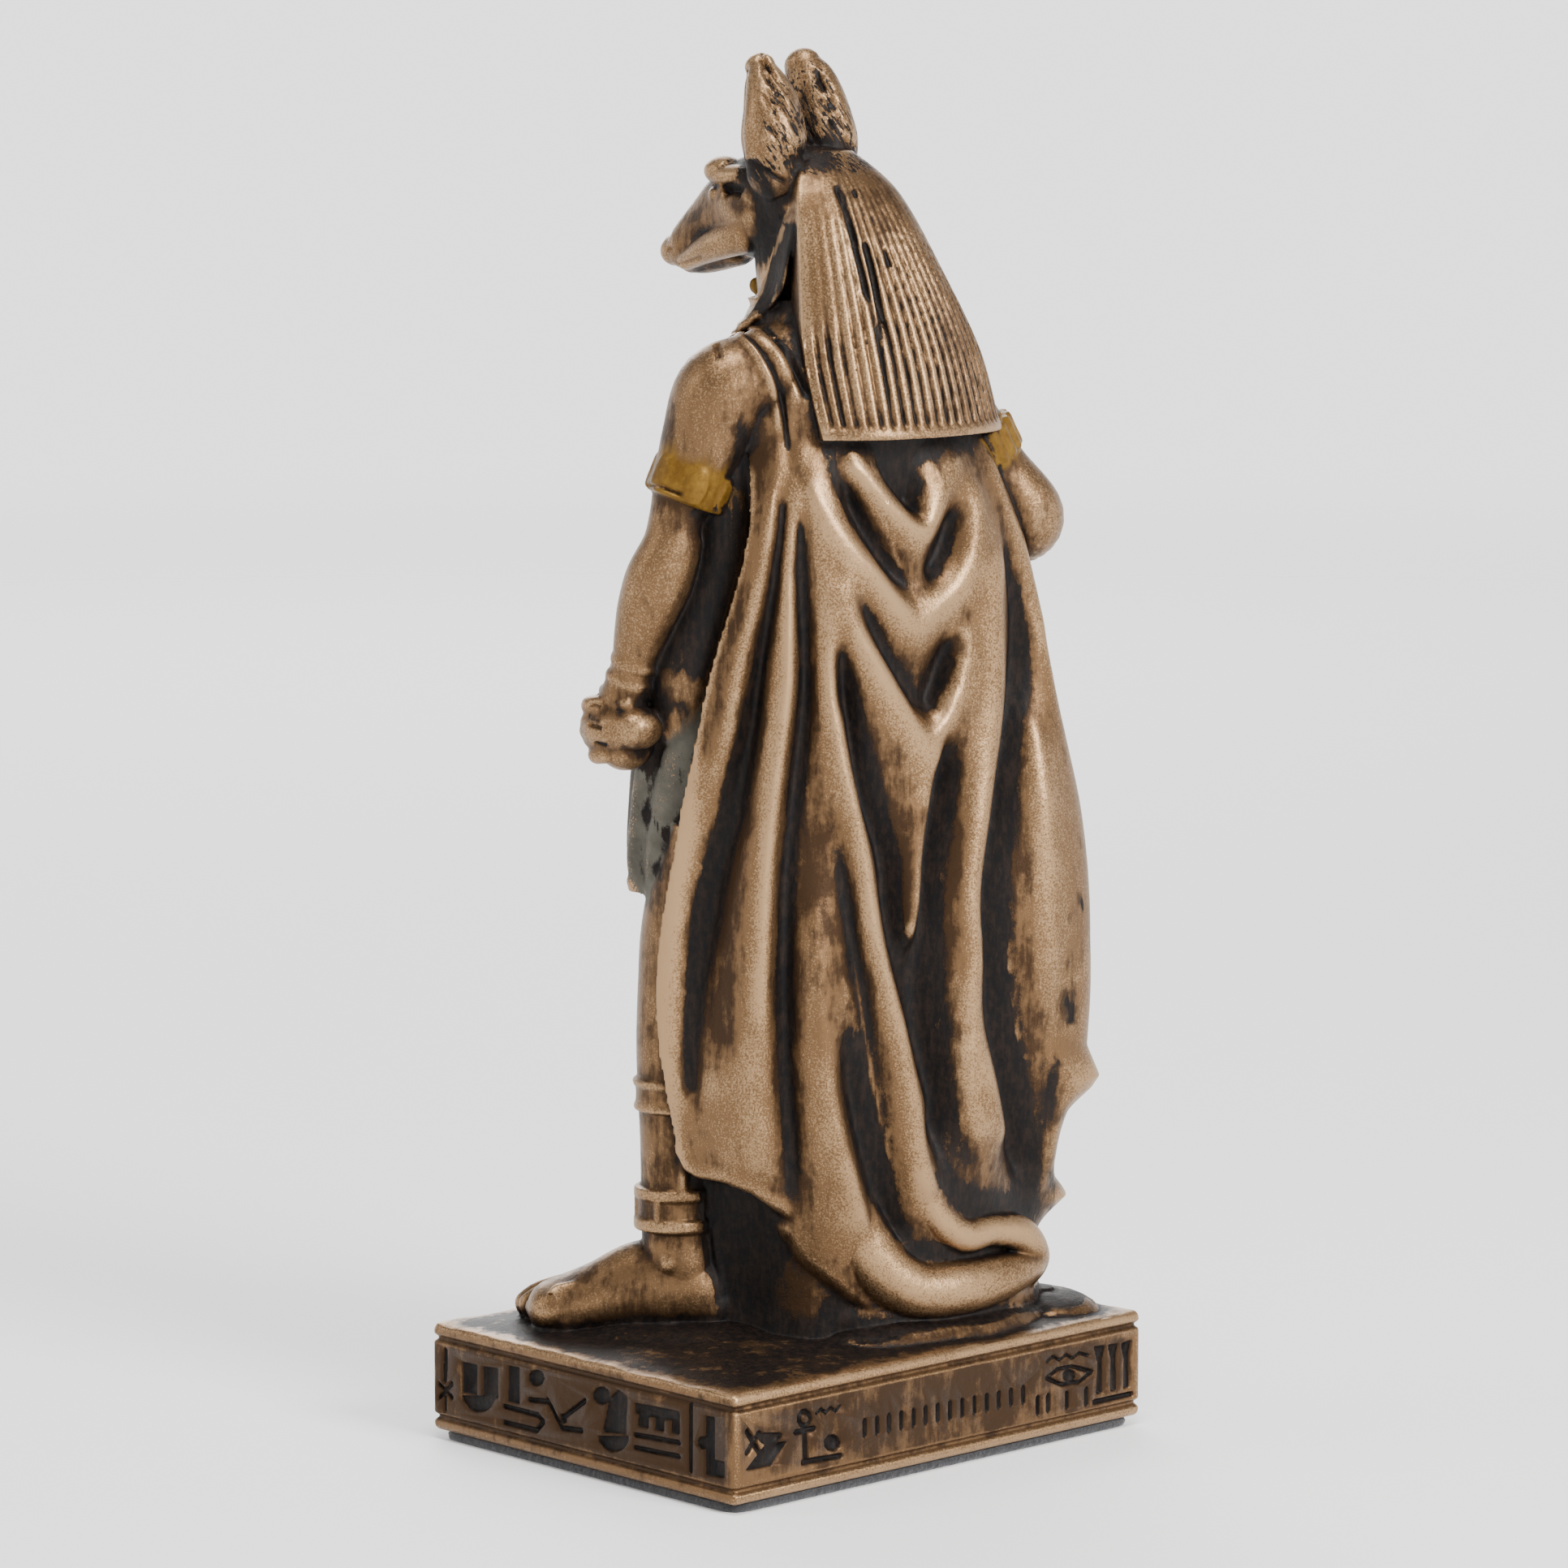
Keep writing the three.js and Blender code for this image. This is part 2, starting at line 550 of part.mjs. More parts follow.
function leftArm() {
  return join([
    limb([
      [6.9, 4.3, 60.9, 2.6, 2.6], [8.45, 3.15, 59.8, 3.1, 3], [9.5, 2.5, 57, 2.65, 2.75],
      [10.4, 1.9, 54.2, 2.1, 2.2], [10.95, 1.45, 52, 1.65, 1.75], [11.2, 1.3, 50.2, 1.9, 1.9],
      [11.65, 0.6, 48, 2.1, 2.1], [11.75, -0.9, 44.6, 1.75, 1.7], [11.8, -2.2, 41, 1.5, 1.5],
    ], { side: [0, 1, 0] }),
    band([10.3, 1.9, 54], 2.5, 2.2, [-0.35, 0.2, 1]),
    band([11.7, -1.5, 42], 1.5, 1.9, [0, 0.35, 1]),
    fist([11.6, -2.9, 38.8], [0.1, -1, -0.1], [0, 0.15, 1]),
  ]);
}

function rightArm() {
  return join([
    limb([
      [-6, 5.4, 60.4, 2.5, 2.5], [-7.6, 5.9, 59.4, 2.6, 2.6], [-8.8, 6.5, 57.4, 2.5, 2.5],
      [-10.7, 7.5, 54.2, 2.35, 2.35], [-12.9, 8.6, 51.2, 2.3, 2.3], [-12.8, 6.8, 49.9, 2.1, 2.1],
      [-12, 3.8, 50.8, 1.95, 1.9], [-10, 1.3, 52.2, 1.7, 1.6], [-8.2, -0.4, 53.2, 1.2, 1.2],
    ], { side: [0, 1, 0.4] }),
    band([-9.8, 7, 55.8], 2.75, 2.2, [0.5, -0.15, 1]),
    band([-9, 0.4, 52.8], 1.6, 1.6, [-1, 1, -0.5]),
    fist([-6.9, -1.3, 53.9], [1, -0.5, 0.2], [0.2, -0.2, 1]),
  ]);
}

// Below the waist
const kiltTurn = -20;
const kiltPleats = 15;

function belt() {
  return body([
    [42.2, 0.9, 2.2, 8.8, 5.1], [43, 0.9, 2.2, 9, 5.3], [44.6, 0.8, 2.4, 8.8, 5.1], [45.3, 0.8, 2.4, 8.4, 4.8],
  ], { sides: 16, turn: kiltTurn });
}

function kilt() {
  const levels = [
    [44, 0.9, 2.2, 8.8, 5], [40, 1.1, 1.5, 9.5, 5.4], [36, 1.3, 0.5, 9.7, 5.8], [32, 1.5, -0.3, 9.35, 6],
    [29, 1.5, -0.7, 9.2, 6], [26.4, 1.4, -0.7, 8.6, 5.8],
  ];
  const sides = kiltPleats * 2;
  const [c, k] = [Math.cos(radians(kiltTurn)), Math.sin(radians(kiltTurn))];
  const rings = levels.map(([h, x, y, halfWidth, halfDepth], i) => {
    const depth = 0.3 * Math.min(i / 2, 1);
    return (Array.from({ length: sides }, (_, s) => {
      const angle = (2 * Math.PI * s) / sides;
      const pleat = 1 - (s % 2 === 0 ? depth / halfDepth : 0);
      const [u, v] = [halfWidth * Math.cos(angle) * pleat, halfDepth * Math.sin(angle) * pleat];
      return [x + u * c - v * k, y + u * k + v * c, h];
    }));
  });
  const apron = limb([
    [1, -2.1, 43.4, 1.5, 0.5], [1.6, -3.7, 38, 1.8, 0.5], [2.2, -6.2, 33, 2.1, 0.5],
    [2.3, -7.1, 28, 2.4, 0.5], [2.3, -7.1, 25, 2.5, 0.5],
  ], { side: [0, 1, 0.2], sides: 6 });
  return skin(rings).add(apron);
}

function leg(stations, ankle, calf) {
  const anklet = [[6.2, 2.1], [6.5, 2.5], [8.9, 2.5], [9.3, 2.1]];
  return join([
    limb(stations, { side: [0, 1, 0], roundStart: false, roundEnd: false }),
    band([...calf, 15.1], 2.8, 2),
    body(anklet.map(([h, radius]) => [h, ...ankle, radius, radius]), { sides: 10 }),
  ]);
}

// A foot from heel to toes, [distance from the heel, half width, height]; little is the little toe's side
function foot([x, y], degrees, little) {
  const way = [Math.sin(radians(degrees)), -Math.cos(radians(degrees))];
  const across = [way[1] * -little, way[0] * little];
  const place = (along, aside, h) => [
    x + way[0] * along + across[0] * aside, y + way[1] * along + across[1] * aside, h];
  const sunk = 0.8;
  const stations = [[0.9, 1.3, 2.6], [2.6, 1.8, 4.9], [5, 2.05, 5], [8, 2.45, 3.7], [10.8, 2.65, 2.4]];
  const sole = limb(stations.map(([along, half, height]) => [
    ...place(along, 0, (height - sunk) / 2), half, (height + sunk) / 2]));
  const toes = Array.from({ length: 5 }, (_, i) => {
    const aside = -1.95 + i * 0.98;
    const reach = 13 - 0.15 * i - 0.16 * i * i;
    const size = i === 0 ? 0.75 : 0.62;
    return limb([
      [...place(9.4, aside * 0.9, 0.1), size, 1.6],
      [...place(reach - 0.6, aside * 1.02, -0.1), size, 1.3],
    ], { sides: 5, side: [0, 0, -1], roundStart: false });
  });
  return join([sole, ...toes]);
}

function legs() {
  return join([
    leg([
      [6.6, 0.4, 32, 3.3, 3.3], [7.6, -0.9, 26, 3, 3], [8, -1.4, 22, 2.65, 2.75], [8.2, -1.3, 17.5, 2.7, 2.8],
      [8.3, -1.5, 12, 2.2, 2.3], [8.3, -1.7, 7.5, 1.95, 2.1], [8.2, -1.6, 1, 1.9, 2.1],
    ], [8.3, -1.7], [8.3, -1.4]),
    leg([
      [-3, 1.9, 34, 2.4, 2.4], [-4, 1.3, 27, 3, 3], [-4.7, 1.1, 22, 2.65, 2.75], [-5, 1.4, 17.5, 2.7, 2.8],
      [-5.2, 1.5, 12, 2.2, 2.3], [-5.2, 1.6, 7.5, 1.95, 2.1], [-5.2, 1.5, 1, 1.9, 2.1],
    ], [-5.2, 1.7], [-5.1, 1.5]),
    foot([6.4, 0.6], 37.8, 1),
    foot([-4.7, 4.2], -10, -1),
  ]);
}

// The whole figure, brought from its grid to its height and set on the plinth
function figure() {
  const drawn = join([
    cape(), train(), wig(), crown(), head(), lappets(), trunk(), collar(), straps(), leftArm(), rightArm(),
    belt(), kilt(), legs(),
  ]);
  const geometry = geometryOf(drawn);
  const share = figureHeight / grid.figureTop;
  geometry.scale(share, share, share);
  geometry.translate(0, 0, plinthTop);
  return solidOf(geometry);
}

// The plinth

function roundedOutline(length, depth, radius) {
  const [x, y] = [length / 2, depth / 2];
  const shape = new THREE.Shape();
  shape.moveTo(-x + radius, -y);
  shape.lineTo(x - radius, -y);
  shape.absarc(x - radius, -y + radius, radius, -Math.PI / 2, 0);
  shape.lineTo(x, y - radius);
  shape.absarc(x - radius, y - radius, radius, 0, Math.PI / 2);
  shape.lineTo(-x + radius, y);
  shape.absarc(-x + radius, y - radius, radius, Math.PI / 2, Math.PI);
  shape.lineTo(-x, -y + radius);
  shape.absarc(-x + radius, -y + radius, radius, Math.PI, 1.5 * Math.PI);
  return shape;
}

// A ring of the rounded outline, drawn in by the inset, at height z
function outlineRing(inset, z) {
  const facets = 2;
  const sharpest = 0.2;
  const radius = Math.max(plinthCornerRadius - inset, sharpest);
  const [x, y] = [plinthLength / 2 - inset - radius, plinthDepth / 2 - inset - radius];
  return [[x, y], [-x, y], [-x, -y], [x, -y]].flatMap(([cornerX, cornerY], corner) => (
    Array.from({ length: facets + 1 }, (_, i) => {
      const angle = (Math.PI / 2) * (corner + i / facets);
      return [cornerX + radius * Math.cos(angle), cornerY + radius * Math.sin(angle), z];
    })));
}

// The block in profile from its underside to its domed top, with a groove above and below the frieze
function block() {
  const half = grooveWidth / 2;
  const grooves = [lowerGrooveHeight, upperGrooveHeight].flatMap((height) => [
    [0, height - half], [grooveDepth, height], [0, height + half]]);
  const shoulder = plinthHeight - plinthTopRise - plinthEdgeRadius;
  const rounding = [0, 45, 90].map((degrees) => {
    const angle = radians(degrees);
    return [plinthEdgeRadius * (1 - Math.cos(angle)), shoulder + plinthEdgeRadius * Math.sin(angle)];
  });
  const dome = [0.2, 0.6].map((share) => {
    const rise = plinthTopRise * Math.sin(share * 2.4);
    return [plinthEdgeRadius + (plinthDepth / 2) * share, shoulder + plinthEdgeRadius + rise];
  });
  const profile = [[plinthEdgeRadius, 0], [0, plinthEdgeRadius], ...grooves, ...rounding, ...dome];
  return skin(profile.map(([inset, height]) => outlineRing(inset, castingBottom + height)));
}

// The frieze: plain sunk marks, each drawn from its lower left corner in a cell of its own

function bar(x, y, width, height) {
  const shape = new THREE.Shape();
  shape.moveTo(x, y);
  shape.lineTo(x + width, y);
  shape.lineTo(x + width, y + height);
  shape.lineTo(x, y + height);
  return shape;
}

function wedge(x, y, width, height) {
  const shape = new THREE.Shape();
  shape.moveTo(x, y);
  shape.lineTo(x + width, y);
  shape.lineTo(x + width / 2, y + height);
  return shape;
}

function disc(x, y, radius, fromDegrees = 0, toDegrees = 360) {
  const shape = new THREE.Shape();
  const whole = toDegrees - fromDegrees === 360;
  const steps = whole ? 8 : 4;
  for (let i = 0; i <= (whole ? steps - 1 : steps); i += 1) {
    const angle = radians(lerp(fromDegrees, toDegrees, i / steps));
    const point = [x + radius * Math.cos(angle), y + radius * Math.sin(angle)];
    if (i === 0) {
      shape.moveTo(...point);
    } else {
      shape.lineTo(...point);
    }
  }
  return shape;
}

function zigzag(x, y, width, teeth) {
  const shape = new THREE.Shape();
  const thick = 0.28;
  const tooth = 0.4;
  const step = width / teeth;
  shape.moveTo(x, y);
  for (let i = 1; i <= teeth; i += 1) {
    shape.lineTo(x + (i - 0.5) * step, y + tooth);
    shape.lineTo(x + i * step, y);
  }
  for (let i = teeth; i >= 1; i -= 1) {
    shape.lineTo(x + i * step, y + thick);
    shape.lineTo(x + (i - 0.5) * step, y + tooth + thick);
  }
  shape.lineTo(x, y + thick);
  return shape;
}

function lens(x, y, width, height) {
  const shape = new THREE.Shape();
  shape.moveTo(x, y);
  shape.quadraticCurveTo(x + width / 2, y - height, x + width, y);
  shape.quadraticCurveTo(x + width / 2, y + height, x, y);
  return shape;
}

// Cells of the frieze, drawn this high and brought to the frieze's height: [width, marks]
const cellHeight = 3.6;
const cells = {
  feathers: [2.6, [bar(0.3, 1.2, 0.7, 2.1), bar(1.5, 1.2, 0.7, 2.1), disc(1.3, 0.9, 0.8, 180, 360)]],
  reed: [1.2, [bar(0.2, 0.4, 0.45, 2.9)]],
  sun: [1.9, [disc(0.8, 2.6, 0.6), bar(0.2, 1.3, 1.3, 0.35), bar(0.2, 0.6, 1.3, 0.35)]],
  arm: [2.2, [bar(0.2, 0.5, 0.4, 2.4), bar(0.7, 0.5, 1.1, 0.4), disc(1.5, 2.5, 0.4)]],
  hill: [2.6, [wedge(0.2, 1.5, 2, 1.8), disc(1.2, 1.1, 0.9, 180, 360)]],
  comb: [3, [
    bar(0.2, 2.8, 2.4, 0.5), bar(0.2, 1.5, 0.5, 1.1), bar(1.2, 1.5, 0.5, 1.1), bar(2.2, 1.5, 0.5, 1.1),
    bar(0.2, 0.6, 2.4, 0.5),
  ]],
  post: [1.9, [bar(0.2, 0.3, 0.35, 3), bar(0.9, 1.2, 0.6, 2.1), disc(1.2, 0.6, 0.32)]],
  water: [2.8, [
    zigzag(0.2, 2.5, 2.3, 4), bar(0.2, 1.5, 2.3, 0.35), wedge(0.4, 0.3, 0.8, 0.9), wedge(1.5, 0.3, 0.8, 0.9),
  ]],
  lens: [3.2, [
    lens(0.2, 2.2, 2.6, 1), bar(0.5, 0.4, 0.4, 0.8), bar(1.3, 0.4, 0.4, 0.8), bar(2.1, 0.4, 0.4, 0.8),
  ]],
  columns: [3.2, [
    bar(0.2, 0.3, 2.7, 0.35), bar(0.3, 1, 0.4, 2.2), bar(1, 1, 0.4, 2.2), bar(1.7, 1, 0.4, 2.2),
    bar(2.4, 1, 0.4, 2.2),
  ]],
  stand: [1.6, [disc(0.7, 2.7, 0.45), bar(0.2, 1.9, 1, 0.3), bar(0.55, 0.4, 0.3, 1.3)]],
};

const faces = [
  { turn: 90, length: plinthDepth, reach: plinthLength / 2,
    marks: ['reed', 'feathers', 'sun', 'arm', 'hill', 'comb', 'post'] },
  { turn: 180, length: plinthLength, reach: plinthDepth / 2,
    marks: ['hill', 'stand', 'water', 'reed', 'arm', 'reed', 'lens', 'columns'] },
  { turn: 270, length: plinthDepth, reach: plinthLength / 2,
    marks: ['sun', 'hill', 'reed'] },
  { turn: 0, length: plinthLength, reach: plinthDepth / 2,
    marks: ['reed', 'lens', 'feathers', 'reed'] },
];

function sunkMark(shape) {
  const settings = { depth: 2 * friezeDepth, bevelEnabled: false, curveSegments: 4 };
  const geometry = new THREE.ExtrudeGeometry(shape, settings);
  geometry.translate(0, 0, -friezeDepth);
  return geometry;
}

// As many marks as fit along each face, spread evenly between its ends
function friezeCuts() {
  const bottom = castingBottom + (lowerGrooveHeight + upperGrooveHeight - friezeHeight) / 2;
  const scale = friezeHeight / cellHeight;
  const cuts = [];
  for (const { turn, length, reach, marks } of faces) {
    const room = length - 2 * friezeEndMargin;
    const shown = [];
    let used = 0;
    for (const name of marks) {
      const width = cells[name][0] * scale;
      if (used + width <= room) {
        shown.push(name);
        used += width;
      }
    }
    const space = (room - used) / Math.max(shown.length - 1, 1);
    let start = -room / 2;
    for (const name of shown) {
      const [width, shapes] = cells[name];
      for (const shape of shapes) {
        const geometry = sunkMark(shape);
        geometry.scale(scale, scale, 1);
        geometry.translate(start, 0, 0);
        geometry.rotateX(Math.PI / 2);
        geometry.translate(0, -reach, bottom);
        geometry.rotateZ(radians(turn));
        cuts.push(solidOf(geometry));
      }
      start += width * scale + space;
    }
  }
  return join(cuts);
}

function casting() {
  return figure().add(block()).subtract(friezeCuts());
}

function feltPad() {
  const [length, depth] = [plinthLength - 2 * feltInset, plinthDepth - 2 * feltInset];
  const outline = roundedOutline(length, depth, plinthCornerRadius);
  const settings = { depth: feltThickness, bevelEnabled: false, curveSegments: 4 };
  return solidOf(new THREE.ExtrudeGeometry(outline, settings));
}

function named(name, solid, colour, roughness, metalness) {
  const material = new THREE.MeshStandardMaterial({ color: colour, roughness, metalness });
  const mesh = new THREE.Mesh(geometryOf(solid), material);
  mesh.name = name;
  return mesh;
}

const statue = new THREE.Group();
statue.add(named('anubis_casting', casting(), castingColour, 0.45, 0.6));
statue.add(named('felt_pad', feltPad(), feltColour, 0.95, 0));

export default statue;
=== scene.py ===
"""A small jackal-headed standing figure in a long cape, cast in one with its plinth, on a felt pad.

The figure faces -Y and its left side is +X. Shapes are worked out in millimetres and turned into metres
when a mesh is made. Places that are read off the photograph are pixels of its 1932 x 1932 frame.
"""

import math

import bmesh
import bpy
import numpy as np
from mathutils import Matrix, Vector, noise
from mathutils.kdtree import KDTree


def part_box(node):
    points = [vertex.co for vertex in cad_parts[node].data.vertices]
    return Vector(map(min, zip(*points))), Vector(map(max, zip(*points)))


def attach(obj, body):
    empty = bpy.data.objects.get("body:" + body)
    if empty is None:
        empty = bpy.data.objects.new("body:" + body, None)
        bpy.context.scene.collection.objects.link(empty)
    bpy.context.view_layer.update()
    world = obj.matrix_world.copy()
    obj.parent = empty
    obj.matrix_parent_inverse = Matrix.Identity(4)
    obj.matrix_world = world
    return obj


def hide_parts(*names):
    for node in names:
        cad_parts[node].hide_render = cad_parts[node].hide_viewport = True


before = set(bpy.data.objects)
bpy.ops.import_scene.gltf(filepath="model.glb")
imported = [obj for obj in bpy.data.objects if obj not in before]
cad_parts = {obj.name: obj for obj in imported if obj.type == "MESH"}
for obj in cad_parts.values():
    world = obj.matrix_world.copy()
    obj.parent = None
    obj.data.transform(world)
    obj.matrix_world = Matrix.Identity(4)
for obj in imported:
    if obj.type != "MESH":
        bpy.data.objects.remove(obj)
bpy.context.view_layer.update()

bl_info = {
    "name": "Jackal Standing Figure",
    "version": (1, 0, 0),
    "blender": (4, 5, 0),
    "location": "View3D > Sidebar > Figure",
    "description": "Builds a cast resin figure with a bronze finish on its plinth",
    "category": "Add Mesh",
}

MM = 0.001
PHOTO_SIZE = 1932

# The plinth's own sizes come from the frame; the felt lies a little inside its edges
FELT_INSET = 0.35
PLINTH_HEIGHT = 7.4
CASTING_LOW, CASTING_HIGH = (np.array(corner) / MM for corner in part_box("anubis_casting"))
FELT_LOW, FELT_HIGH = (np.array(corner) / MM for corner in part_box("felt_pad"))
PLINTH_HALF = np.array([FELT_HIGH[0], FELT_HIGH[1]]) + FELT_INSET
PLINTH_BOTTOM = float(CASTING_LOW[2])
PLINTH_TOP = PLINTH_BOTTOM + PLINTH_HEIGHT
FIGURE_TOP = float(CASTING_HIGH[2])
# The figure's own heights start at the plinth's top
FIGURE_LIFT = np.array([0, 0, PLINTH_TOP])
# The width of an upright limb is square to this way
BACK_WAY = (0, 1, 0)

# The photograph's camera, in millimetres
CAMERA_PLACE = np.array([281.3, 299.1, 97.7])
CAMERA_AIM = np.array([0.19, -0.18, 42.23])
CAMERA_LENS = 149.07
CAMERA_SENSOR = 36.0


# Curves and closed skins


def curve(rows, t):
    """The smooth curve through evenly spaced rows of numbers, at each t from 0 to len(rows) - 1."""
    rows = np.asarray(rows, float)
    t = np.asarray(t, float)
    last = len(rows) - 1
    i = np.clip(np.floor(t).astype(int), 0, last - 1)
    f = (t - i).reshape(t.shape + (1,) * (rows.ndim - 1))
    a, b, c, d = rows[np.maximum(i - 1, 0)], rows[i], rows[i + 1], rows[np.minimum(i + 2, last)]
    square = (2 * a - 5 * b + 4 * c - d) * f * f
    return 0.5 * (2 * b + (c - a) * f + square + (3 * b - a - 3 * c + d) * f ** 3)


def smoothstep(low, high, value):
    """0 at low, 1 at high, and smooth between them."""
    share = np.clip((value - low) / (high - low), 0, 1)
    return share * share * (3 - 2 * share)


def unit(vectors):
    return vectors / np.maximum(np.linalg.norm(vectors, axis=-1, keepdims=True), 1e-12)


def full_turn(sides):
    """Evenly spaced angles all round."""
    return np.arange(sides) / sides * 2 * math.pi


def skin(rings):
    """A closed skin through rings of equally many points, each end closed by a fan."""
    rings = np.asarray(rings, float)
    count, sides = rings.shape[:2]
    points = np.concatenate([rings.reshape(-1, 3), rings[:1].mean(1), rings[-1:].mean(1)])
    r, s = np.meshgrid(np.arange(count - 1), np.arange(sides), indexing="ij")
    near, far = r * sides, (r + 1) * sides
    following = (s + 1) % sides
    quads = np.stack([near + s, near + following, far + following, far + s], -1).reshape(-1, 4)
    here = np.arange(sides)
    after = (here + 1) % sides
    first, last = count * sides, (count - 1) * sides
    fans = np.concatenate([
        np.stack([np.full(sides, first), after, here], -1),
        np.stack([np.full(sides, first + 1), last + here, last + after], -1),
    ])
    return points, quads.tolist() + fans.tolist()


def tube(stations, side=(0, 0, 1), sides=40, spacing=0.35, ends=(True, True), section=2.0, shape=None):
    """A limb through [x, y, height, half width, half thickness], the width square to the given side or sides.

    section is 2 for an oval and more for a squarer outline; shape changes the outline along the limb.
    """
    rows = np.asarray(stations, float)
    length = np.linalg.norm(np.diff(rows[:, :3], axis=0), axis=1).sum()
    count = max(int(length / spacing), 6)
    t = np.linspace(0, len(rows) - 1, count)
    path = curve(rows, t)
    way = unit(np.gradient(path[:, :3], axis=0))
    facing = np.asarray(side, float)
    across = unit(np.cross(curve(facing, t) if facing.ndim == 2 else facing, way))
    up = np.cross(way, across)
    angle = full_turn(sides)
    c, k = np.cos(angle), np.sin(angle)
    outline = (np.abs(c) ** section + np.abs(k) ** section) ** (-1 / section)
    share = t / (len(rows) - 1)
    reach = outline[None, :] * (shape(share[:, None], angle[None, :]) if shape else 1)
    rings = (path[:, None, :3] + across[:, None] * (path[:, 3, None] * c * reach)[..., None]
             + up[:, None] * (path[:, 4, None] * k * reach)[..., None])
    if ends[0]:
        rings = np.concatenate([dome(rings[0], -way[0], path[0, 3:5].min())[::-1], rings])
    if ends[1]:
        rings = np.concatenate([rings, dome(rings[-1], way[-1], path[-1, 3:5].min())])
    return skin(rings)


DOME_LEANS = np.radians([20, 40, 58, 74, 85])


def dome(ring, way, height):
    """Rings that close a limb's end as a dome of the given height."""
    middle = ring.mean(0)
    return np.stack([middle + (ring - middle) * math.cos(a) + way * height * math.sin(a) for a in DOME_LEANS])


def level_rings(x, y, u, v, height, turn):
    """Rings round the places x, y, whose offsets u, v are turned about the vertical by some degrees."""
    c, k = math.cos(math.radians(turn)), math.sin(math.radians(turn))
    return np.stack([x + u * c - v * k, y + u * k + v * c, height], -1)


def levels(rows, sides=72, turn=0, spacing=0.35, shape=None):
    """A body through level ovals [height, x, y, half width, half depth], turned about the vertical."""
    rows = np.asarray(rows, float)
    count = max(int((rows[-1, 0] - rows[0, 0]) / spacing), 8)
    t = np.linspace(0, len(rows) - 1, count)
    h, x, y, half_width, half_depth = curve(rows, t).T[:, :, None]
    angle = full_turn(sides)[None, :]
    reach = shape(h, angle) if shape else 1
    u, v = half_width * np.cos(angle) * reach, half_depth * np.sin(angle) * reach
    return skin(level_rings(x, y, u, v, h + 0 * angle, turn))


def ball(middle, radii, sides=28):
    """A ball, or an egg with three radii."""
    lean = np.linspace(-math.pi / 2, math.pi / 2, sides // 2 + 1)[1:-1, None]
    angle = full_turn(sides)[None, :]
    reach = np.cos(lean)
    rings = np.stack([reach * np.cos(angle), reach * np.sin(angle), np.sin(lean) + 0 * angle], -1)
    return skin(rings * np.broadcast_to(radii, 3) + np.asarray(middle, float))


def on_side(rows, side):
    """Rows of numbers with the first one, x, to the figure's left for side 1 and to its right for -1."""
    rows = np.array(rows, float)
    rows[..., 0] *= side
    return rows


def on_circle(middle, radius, turn):
    return middle[0] + radius * math.cos(turn), middle[1] + radius * math.sin(turn)


def placed(shapes, turn=0, shift=(0, 0, 0)):
    """The shapes turned about the vertical and then moved."""
    c, k = math.cos(math.radians(turn)), math.sin(math.radians(turn))
    spin = np.array([[c, k, 0], [-k, c, 0], [0, 0, 1]])
    return [(points @ spin + np.asarray(shift, float), faces) for points, faces in shapes]


def mesh_of(name, shapes):
    """One mesh object, in millimetres, of all the shapes."""
    points, faces, start = [], [], 0
    for own_points, own_faces in shapes:
        points.append(own_points)
        faces.extend([[start + i for i in face] for face in own_faces])
        start += len(own_points)
    mesh = bpy.data.meshes.new(name)
    mesh.from_pydata(np.concatenate(points).tolist(), [], faces)
    mesh.update()
    thing = bpy.data.objects.new(name, mesh)
    bpy.context.scene.collection.objects.link(thing)
    return thing


def with_modifier(thing, kind, **settings):
    """The object's mesh with one modifier applied."""
    modifier = thing.modifiers.new(kind.lower(), kind)
    for key, value in settings.items():
        setattr(modifier, key, value)
    bpy.context.view_layer.update()
    evaluated = thing.evaluated_get(bpy.context.evaluated_depsgraph_get())
    mesh = bpy.data.meshes.new_from_object(evaluated)
    thing.modifiers.remove(modifier)
    old = thing.data
    thing.data = mesh
    bpy.data.meshes.remove(old)
    return thing


def of_points(mesh, what):
    """Three numbers of every point of a mesh: "co" for its place, "normal" for its way out."""
    values = np.empty(len(mesh.vertices) * 3, np.float32)
    mesh.vertices.foreach_get(what, values)
    return values.reshape(-1, 3).astype(float)


def edge_ends(mesh):
    """The first and the second point of every edge."""
    ends = np.empty(len(mesh.edges) * 2, np.int64)
    mesh.edges.foreach_get("vertices", ends)
    return ends.reshape(-1, 2).T


def put_coordinates(mesh, points):
    mesh.vertices.foreach_set("co", points.astype(np.float32).ravel())
    mesh.update()


def put_attribute(mesh, name, values):
    attribute = mesh.attributes.new(name, "FLOAT", "POINT")
    attribute.data.foreach_set("value", np.asarray(values, np.float32))


# The photograph's view


